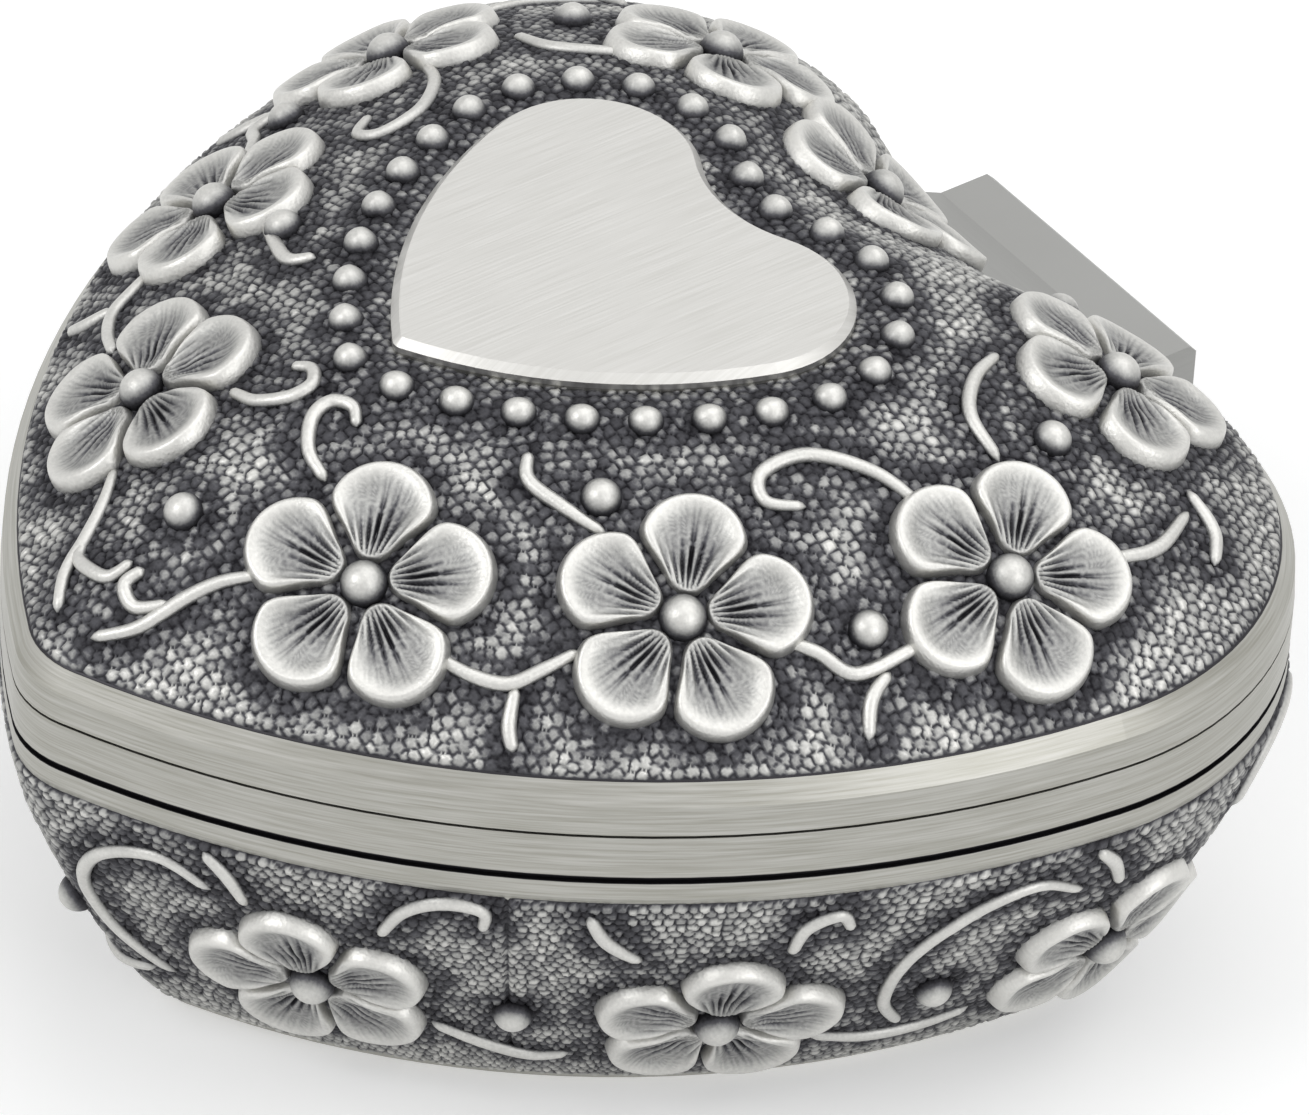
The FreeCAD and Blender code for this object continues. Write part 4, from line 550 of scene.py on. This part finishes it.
def stems(name, lines, seat, tree, body):
    """lines are lists of places; seat turns a place into a spot and a normal."""
    curve = bpy.data.curves.new(name, "CURVE")
    curve.dimensions, curve.bevel_depth, curve.bevel_resolution, curve.use_fill_caps = \
        "3D", STEM * MM, 3, True
    for line in lines:
        spots = [seat(*p) for p in through(line)]
        spots = [(spot + normal * STEM_RISE * MM) for spot, normal in spots if spot is not None]
        spline = curve.splines.new("POLY")
        spline.points.add(len(spots) - 1)
        for i, (point, spot) in enumerate(zip(spline.points, spots)):
            share = i / (len(spots) - 1)
            point.co = (*spot, 1)
            point.radius = (0.55 + 0.45 * math.sin(math.pi * (0.15 + share * 0.75))) \
                * (0.15, 0.75, 1)[min(i, len(spots) - 1 - i, 2)]
    holder = bpy.data.objects.new(name, curve)
    bpy.context.scene.collection.objects.link(holder)
    mesh = bpy.data.meshes.new_from_object(holder.evaluated_get(bpy.context.evaluated_depsgraph_get()))
    bpy.data.objects.remove(holder)
    wear = mesh.attributes.new("wear", "FLOAT", "POINT")
    for i, v in enumerate(mesh.vertices):
        wear.data[i].value = 0.12 + 0.80 * smooth(0.10, 0.65, tree.find_nearest(v.co)[3] / MM)
        v.co = held_in(v.co)
    mesh.materials.clear()
    mesh.materials.append(pewter_relief)
    mesh.shade_smooth()
    piece = bpy.data.objects.new(name, mesh)
    bpy.context.scene.collection.objects.link(piece)
    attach(piece, body)
    print(name, "has", len(mesh.polygons), "faces in", len(lines), "stems")
    return piece


# places are millimetres seen from above; first the stems at the heart's point, which differ left and right
POINT_STEMS = [
    [(2.0, -38.3), (3.9, -35.9), (4.8, -33.0), (5.7, -31.0), (7.3, -28.9)],
    [(1.5, -34.0), (1.3, -35.3), (2.8, -35.6), (4.3, -34.0)],
    [(-1.1, -38.6), (-3.0, -36.7), (-3.9, -34.7), (-5.2, -32.5), (-7.0, -30.4)],
    [(-3.8, -34.9), (-2.9, -35.8), (-1.3, -36.0), (0.1, -35.6), (0.5, -34.2)],
]
RIGHT_STEMS = [
    [(5.2, -23.2), (2.9, -22.9), (1.2, -21.5), (1.0, -20.0), (2.2, -19.2), (3.5, -19.8)],
    [(17.5, -23.6), (19.8, -22.4), (21.6, -20.8), (22.3, -18.6), (22.8, -16.4)],
    [(24.4, -22.3), (23.2, -21.8), (22.0, -20.5)],
    [(11.5, -12.5), (13.0, -13.5), (15.5, -12.8), (18.5, -11.5)],
    [(28.5, -6.0), (30.5, -4.0), (32.5, -2.5), (33.0, 1.0), (33.0, 4.0)],
    [(35.5, -3.5), (34.0, -2.3), (33.4, -0.5)],
    [(26.5, 6.5), (23.5, 5.0), (20.8, 2.0), (20.4, -1.2), (22.0, -2.0), (23.5, 0.0)],
    [(26.0, 13.0), (22.5, 13.3), (20.0, 15.5), (18.5, 18.5)],
    [(33.5, 16.0), (33.5, 20.0), (31.5, 24.0)],
    [(35.0, 23.5), (32.8, 25.0), (30.0, 25.0)],
]
left_stems = [[(-x, y) for x, y in line] for line in RIGHT_STEMS]
lid_stems = stems("lid_stems", POINT_STEMS + RIGHT_STEMS + left_stems, on_lid, lid_tree, "lid")

# %% [markdown]
# ## Relief on the base
# Eight flowers go round the bowl, with stems and lone beads between them. The bowl is seen from its side,
# so a place here is an angle round the box, in degrees, and a height in millimetres. Two sprays of stems
# take turns, drawn once as steps from a flower, so that neighbouring flowers don't look copied.

# %% Flowers, beads and stems of the base
BASE_FLOWERS = [(-64.5, 11.5, 30), (-17.7, 10.3, 12), (22.5, 10.6, 0), (57, 11.5, 20), (123, 11.5, 5),
                (158, 11.5, 25), (197, 11.0, 15), (245, 11.0, 40)]
SPRAY_A = [[(-18, 6.8), (-22, 10.5), (-22.5, 15.5), (-19, 19.6), (-13, 21.4), (-8, 19.6)],
           [(-8, 23.3), (-6, 21.5), (-4.5, 19.0)],
           [(9, 18.8), (12, 21.8), (16, 23.2), (20, 22.8), (20, 20.8)],
           [(13, 8.6), (19, 6.5), (25, 5.2), (30, 5.6)]]
SPRAY_B = [[(-16, 23.0), (-14, 20.5), (-10, 18.3)],
           [(5, 18.6), (6, 21.2), (9, 22.2), (10.5, 20.6)],
           [(12, 7.0), (19, 5.6), (25, 5.6), (30, 6.5)]]
places = [(flower, *on_base(angle, z), turn) for angle, z, turn in BASE_FLOWERS]
# a bead follows each flower but the one before the cleft, where it would stand under the hinge
BEAD_STEP, BY_THE_CLEFT = 23, 57
places += [(lone_bead, *on_base(angle + BEAD_STEP, 11.0), 0) for angle, z, turn in BASE_FLOWERS
           if angle != BY_THE_CLEFT]
base_flowers = spread("base_flowers", places, base_tree, "base")
lines = [[(angle + step, z) for step, z in line] for i, (angle, _, _) in enumerate(BASE_FLOWERS)
         for line in (SPRAY_A, SPRAY_B)[i % 2]]
# no stem runs into the hinge block, at the back and high up
lines = [line for line in lines if not any(66 < (a % 360) < 114 and z > 19 for a, z in line)]
base_stems = stems("base_stems", lines, on_base, base_tree, "base")

# %% [markdown]
# ## The pebbled ground
# The ground between the flowers is a field of tiny rounded pebbles, about 0.8 mm across, which hides
# scratches and gives the patina somewhere to stay. A bump map would be lighter, but its pebbles would
# cast no shade and leave the outline smooth. So it is a skin of small faces just over the metal.
# The pebbles' middles stand in staggered rows, each pushed a little out of its place. Where the two
# nearest middles are equally far, there is a valley, and a pebble rises between its valleys.
# The skin dips under the metal at its edges, so its rim never shows.

# %% Height and wear of the pebbles
# a pebble's width, how high the skin stands, and how deep its edges sink into the metal; mm
PEBBLE, SKIN, SUNK = 0.80, 0.12, 0.12
# a row repeats after this many pebbles, so that the base's rows close round the box
AROUND = 300
# staggered rows stand this many widths apart, so that all neighbours are equally far
ROW, PUSH = 0.87, 0.29
raised = [v.co for piece in (lid_flowers, lid_ring, lid_stems, base_flowers, base_stems)
          for v in piece.data.vertices]
relief = kdtree.KDTree(len(raised))
for co in raised:
    relief.insert(co, 0)
relief.balance()
chance = random.Random(11)
# how far each pebble of a row is pushed along and across it, and how large it is
pushed = {(i, j): (chance.uniform(-PUSH, PUSH), chance.uniform(-PUSH, PUSH), chance.random())
          for i in range(AROUND) for j in range(-80, 80)}
print("pushed", len(pushed), "pebbles;", len(raised), "points of relief shelter the ground beside them")


def pebble(along, across, spot):
    """Height in millimetres and wear of the ground; along and across are mm on the flattened skin."""
    along, across = along / PEBBLE, across / PEBBLE / ROW
    nearest, second, size = 9.0, 9.0, 0.0
    for j in range(round(across) - 1, round(across) + 2):
        start = round(along - 0.5 * (j % 2))
        for i in range(start - 1, start + 2):
            sideways, lengthways, big = pushed[i % AROUND, j]
            distance = math.hypot(i + 0.5 * (j % 2) + sideways - along, ROW * (j - across) + lengthways)
            if distance < nearest:
                nearest, second, size = distance, nearest, big
            elif distance < second:
                second = distance
    crest = smooth(0.0, 0.30, second - nearest) * (1 - 0.55 * smooth(0.38, 0.70, nearest))
    # within 3 mm of the relief, rubbing reaches the ground less and less
    sheltered = 1 - smooth(0.2, 3.0, relief.find(spot)[2] / MM)
    return 0.26 * crest * (0.70 + 0.30 * size), \
        0.12 + crest * (0.42 + 0.38 * size) - sheltered * (0.12 + 0.34 * crest)


def skin(name, bm, seat, body):
    """Seats a flat grid; seat gives a spot, its normal, the height's share and a place among the pebbles."""
    wear = bm.verts.layers.float.new("wear")
    gone = []
    for v in bm.verts:
        spot, normal, share, flat = seat(v.co.x, v.co.y)
        if spot is None:
            gone.append(v)
            continue
        height, v[wear] = pebble(*flat, spot)
        height *= smooth(0.45, 1.0, share)
        v[wear] *= smooth(0.1, 0.95, share)
        v.co = held_in(spot + normal * ((SKIN + height + SUNK) * share - SUNK) * MM)
    bmesh.ops.delete(bm, geom=gone, context="VERTS")
    for face in bm.faces:
        face.smooth = True
    mesh = bpy.data.meshes.new(name)
    bm.to_mesh(mesh)
    bm.free()
    mesh.materials.append(pewter_relief)
    piece = bpy.data.objects.new(name, mesh)
    bpy.context.scene.collection.objects.link(piece)
    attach(piece, body)
    print(name, "has", len(mesh.polygons), "faces")
    return piece


# %% Ground of the lid, in four parts
# the grid's spacing, the dome's height under the small heart, and where the skin starts and is whole; mm
GRID = 0.16
CROWN, SKIN_FOOT, SKIN_WHOLE = 45.45, 32.90, 33.45


def dome_seat(x, y):
    spot, normal = on_lid(x, y)
    if spot is None or spot.z < SKIN_FOOT * MM:
        return None, None, 0, None
    if spot.z > CROWN * MM:
        spot, normal = Vector((spot.x, spot.y, CROWN * MM)), Vector((0, 0, 1))
    # lengths over the dome are longer than they look from above
    slope = (spot / MM - Vector((0, 0, CROWN))).length / max(0.1, math.hypot(x, y))
    return spot, normal, smooth(SKIN_FOOT, SKIN_WHOLE, spot.z / MM), (x * slope, y * slope)


def flat_grid(low_x, high_x, low_y, high_y, step_x, step_y):
    bm = bmesh.new()
    bmesh.ops.create_grid(bm, x_segments=round((high_x - low_x) / step_x),
                          y_segments=round((high_y - low_y) / step_y), size=0.5)
    for v in bm.verts:
        v.co = ((v.co.x + 0.5) * (high_x - low_x) + low_x, (v.co.y + 0.5) * (high_y - low_y) + low_y, 0)
    return bm


for side, low in (("left", -42), ("right", 0)):
    for end, start, stop in (("front", -42, 0), ("back", 0, 37)):
        skin("lid_ground_%s_%s" % (side, end), flat_grid(low, low + 42, start, stop, GRID, GRID), dome_seat,
             "lid")

# %% Ground of the base, in four parts
# the skin's top edge in mm, and the angle of the line where two parts of the mould met
BOWL_TOP, PARTING = 24.4, -42


def bowl_seat(angle, z):
    spot, normal = on_base(angle, z)
    share = smooth(0.6, 1.6, z) * (1 - smooth(BOWL_TOP - 0.8, BOWL_TOP, z))
    share *= 1 - 0.45 * (1 - smooth(0.12, 0.36, abs(angle - PARTING)))
    # the base's tongue of the hinge stands out at the back, within 12 mm of the middle and higher than
    # 20.5 mm, and the skin sinks before it and leaves room for it
    behind = spot is not None and spot.y > 0
    if behind and abs(spot.x) < 13.5 * MM:
        share *= 1 - smooth(18.5, 20.0, z) * (1 - smooth(12.0, 13.5, abs(spot.x) / MM))
        if z > 20.5 and abs(spot.x) < 12.0 * MM:
            return None, None, 0, None
    # the bowl leans outwards, so lengths up its side are longer than the height
    return spot, normal, share, (angle / 360 * AROUND * PEBBLE, 1.15 * z)


for side, low in (("right_front", -90), ("right_back", 0), ("left_back", 90), ("left_front", 180)):
    # a degree is about 0.66 mm on the bowl
    grid = flat_grid(low, low + 90, 0.5, BOWL_TOP, GRID / 0.66, GRID)
    skin("base_ground_" + side, grid, bowl_seat, "base")

# %% [markdown]
# ## Metals and plastics of the movement
# The frame's own solids keep their shapes. Steel parts are rolled and ground, the cylinder and key are
# turned brass, the springs are blued steel, and the plate over the movement is clear moulded plastic.
# The metals differ in colour, gloss and the way their marks run, so one function makes them all. The
# clear plate is a material of its own.

# %% Plain metals with machining marks
def machined(name, bright, dull, rough, stretch, metallic=1.0):
    """stretch is waves per metre along X, Y and Z: at 5000 marks are 0.2 mm apart, at 150 they are long."""
    material, tree = new_material(name)
    place = add(tree, "ShaderNodeTexCoord").outputs["Object"]
    mapping = add(tree, "ShaderNodeMapping", {"Vector": place}, {"Scale": stretch})
    marks = add(tree, "ShaderNodeTexNoise", {"Vector": mapping.outputs[0]}, {"Scale": 1.0, "Detail": 4.0})
    colour = add(tree, "ShaderNodeValToRGB", {"Fac": marks.outputs["Fac"]},
                 stops=[(0.3, dull), (0.7, bright)])
    gloss = add(tree, "ShaderNodeMapRange", {"Value": marks.outputs["Fac"]},
                {"To Min": rough - 0.06, "To Max": rough + 0.08})
    bump = add(tree, "ShaderNodeBump", {"Height": marks.outputs["Fac"]},
               {"Strength": 0.12, "Distance": 0.00004})
    shader = add(tree, "ShaderNodeBsdfPrincipled",
                 {"Base Color": colour.outputs["Color"], "Roughness": gloss.outputs[0],
                  "Normal": bump.outputs[0]}, {"Metallic": metallic})
    add(tree, "ShaderNodeOutputMaterial", {"Surface": shader.outputs[0]})
    return material


def clear_plastic():
    """Injection-moulded acrylic: nearly invisible, with a faint gleam."""
    material, tree = new_material("clear_moulded_acrylic")
    place = add(tree, "ShaderNodeTexCoord").outputs["Object"]
    # a faint moulding haze, a few millimetres across; a thin plate lets most light straight through, as
    # the low alpha does, so the movement under it is lit
    haze = add(tree, "ShaderNodeTexNoise", {"Vector": place}, {"Scale": 260.0, "Detail": 2.0})
    rough = add(tree, "ShaderNodeMapRange", {"Value": haze.outputs["Fac"]},
                {"To Min": 0.02, "To Max": 0.08})
    shader = add(tree, "ShaderNodeBsdfPrincipled", {"Roughness": rough.outputs[0]},
                 {"Base Color": linear("#f4f8f8"), "IOR": 1.49, "Transmission Weight": 1.0, "Alpha": 0.30})
    add(tree, "ShaderNodeOutputMaterial", {"Surface": shader.outputs[0]})
    return material


FINISHES = {
    # castings are grey and even, ground steel is streaky, and blued steel has a thin blue-grey oxide
    "cast_zinc": machined("sandblasted_cast_zinc", "#a8a8a6", "#8d8d8c", 0.50, (1500, 1500, 1500)),
    "steel": machined("ground_steel", "#d0d1d2", "#b4b5b6", 0.30, (150, 5000, 5000)),
    "spring_steel": machined("blued_spring_steel", "#5b6272", "#444a58", 0.26, (400, 400, 6000)),
    # turned brass is warm and bright, and nylon is a creamy plastic without metal's reflections
    "brass": machined("turned_brass", "#d9b36a", "#b9934c", 0.24, (5000, 300, 300)),
    "white_plastic": machined("moulded_nylon", "#e4e2d8", "#d8d5c9", 0.45, (900, 900, 900), 0.0),
    "clear_plastic": clear_plastic(),
}
for part in frame["record"]["subparts"]:
    finish = FINISHES.get(part["material_slot"])
    if part["node"] == "lid_shell":
        finish = pewter_lid
    elif part["node"] == "base_shell":
        finish = pewter_base
    mesh = nodes[part["node"]].data
    mesh.materials.clear()
    mesh.materials.append(finish)

# %% [markdown]
# ## Sizes, and the end
# The relief must not make the box larger than its frame. Both boxes are measured and printed.

# %% Measure, and finish
low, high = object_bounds()
print("visual box, mm:", [round(x / MM, 1) for x in (*low, *high)])
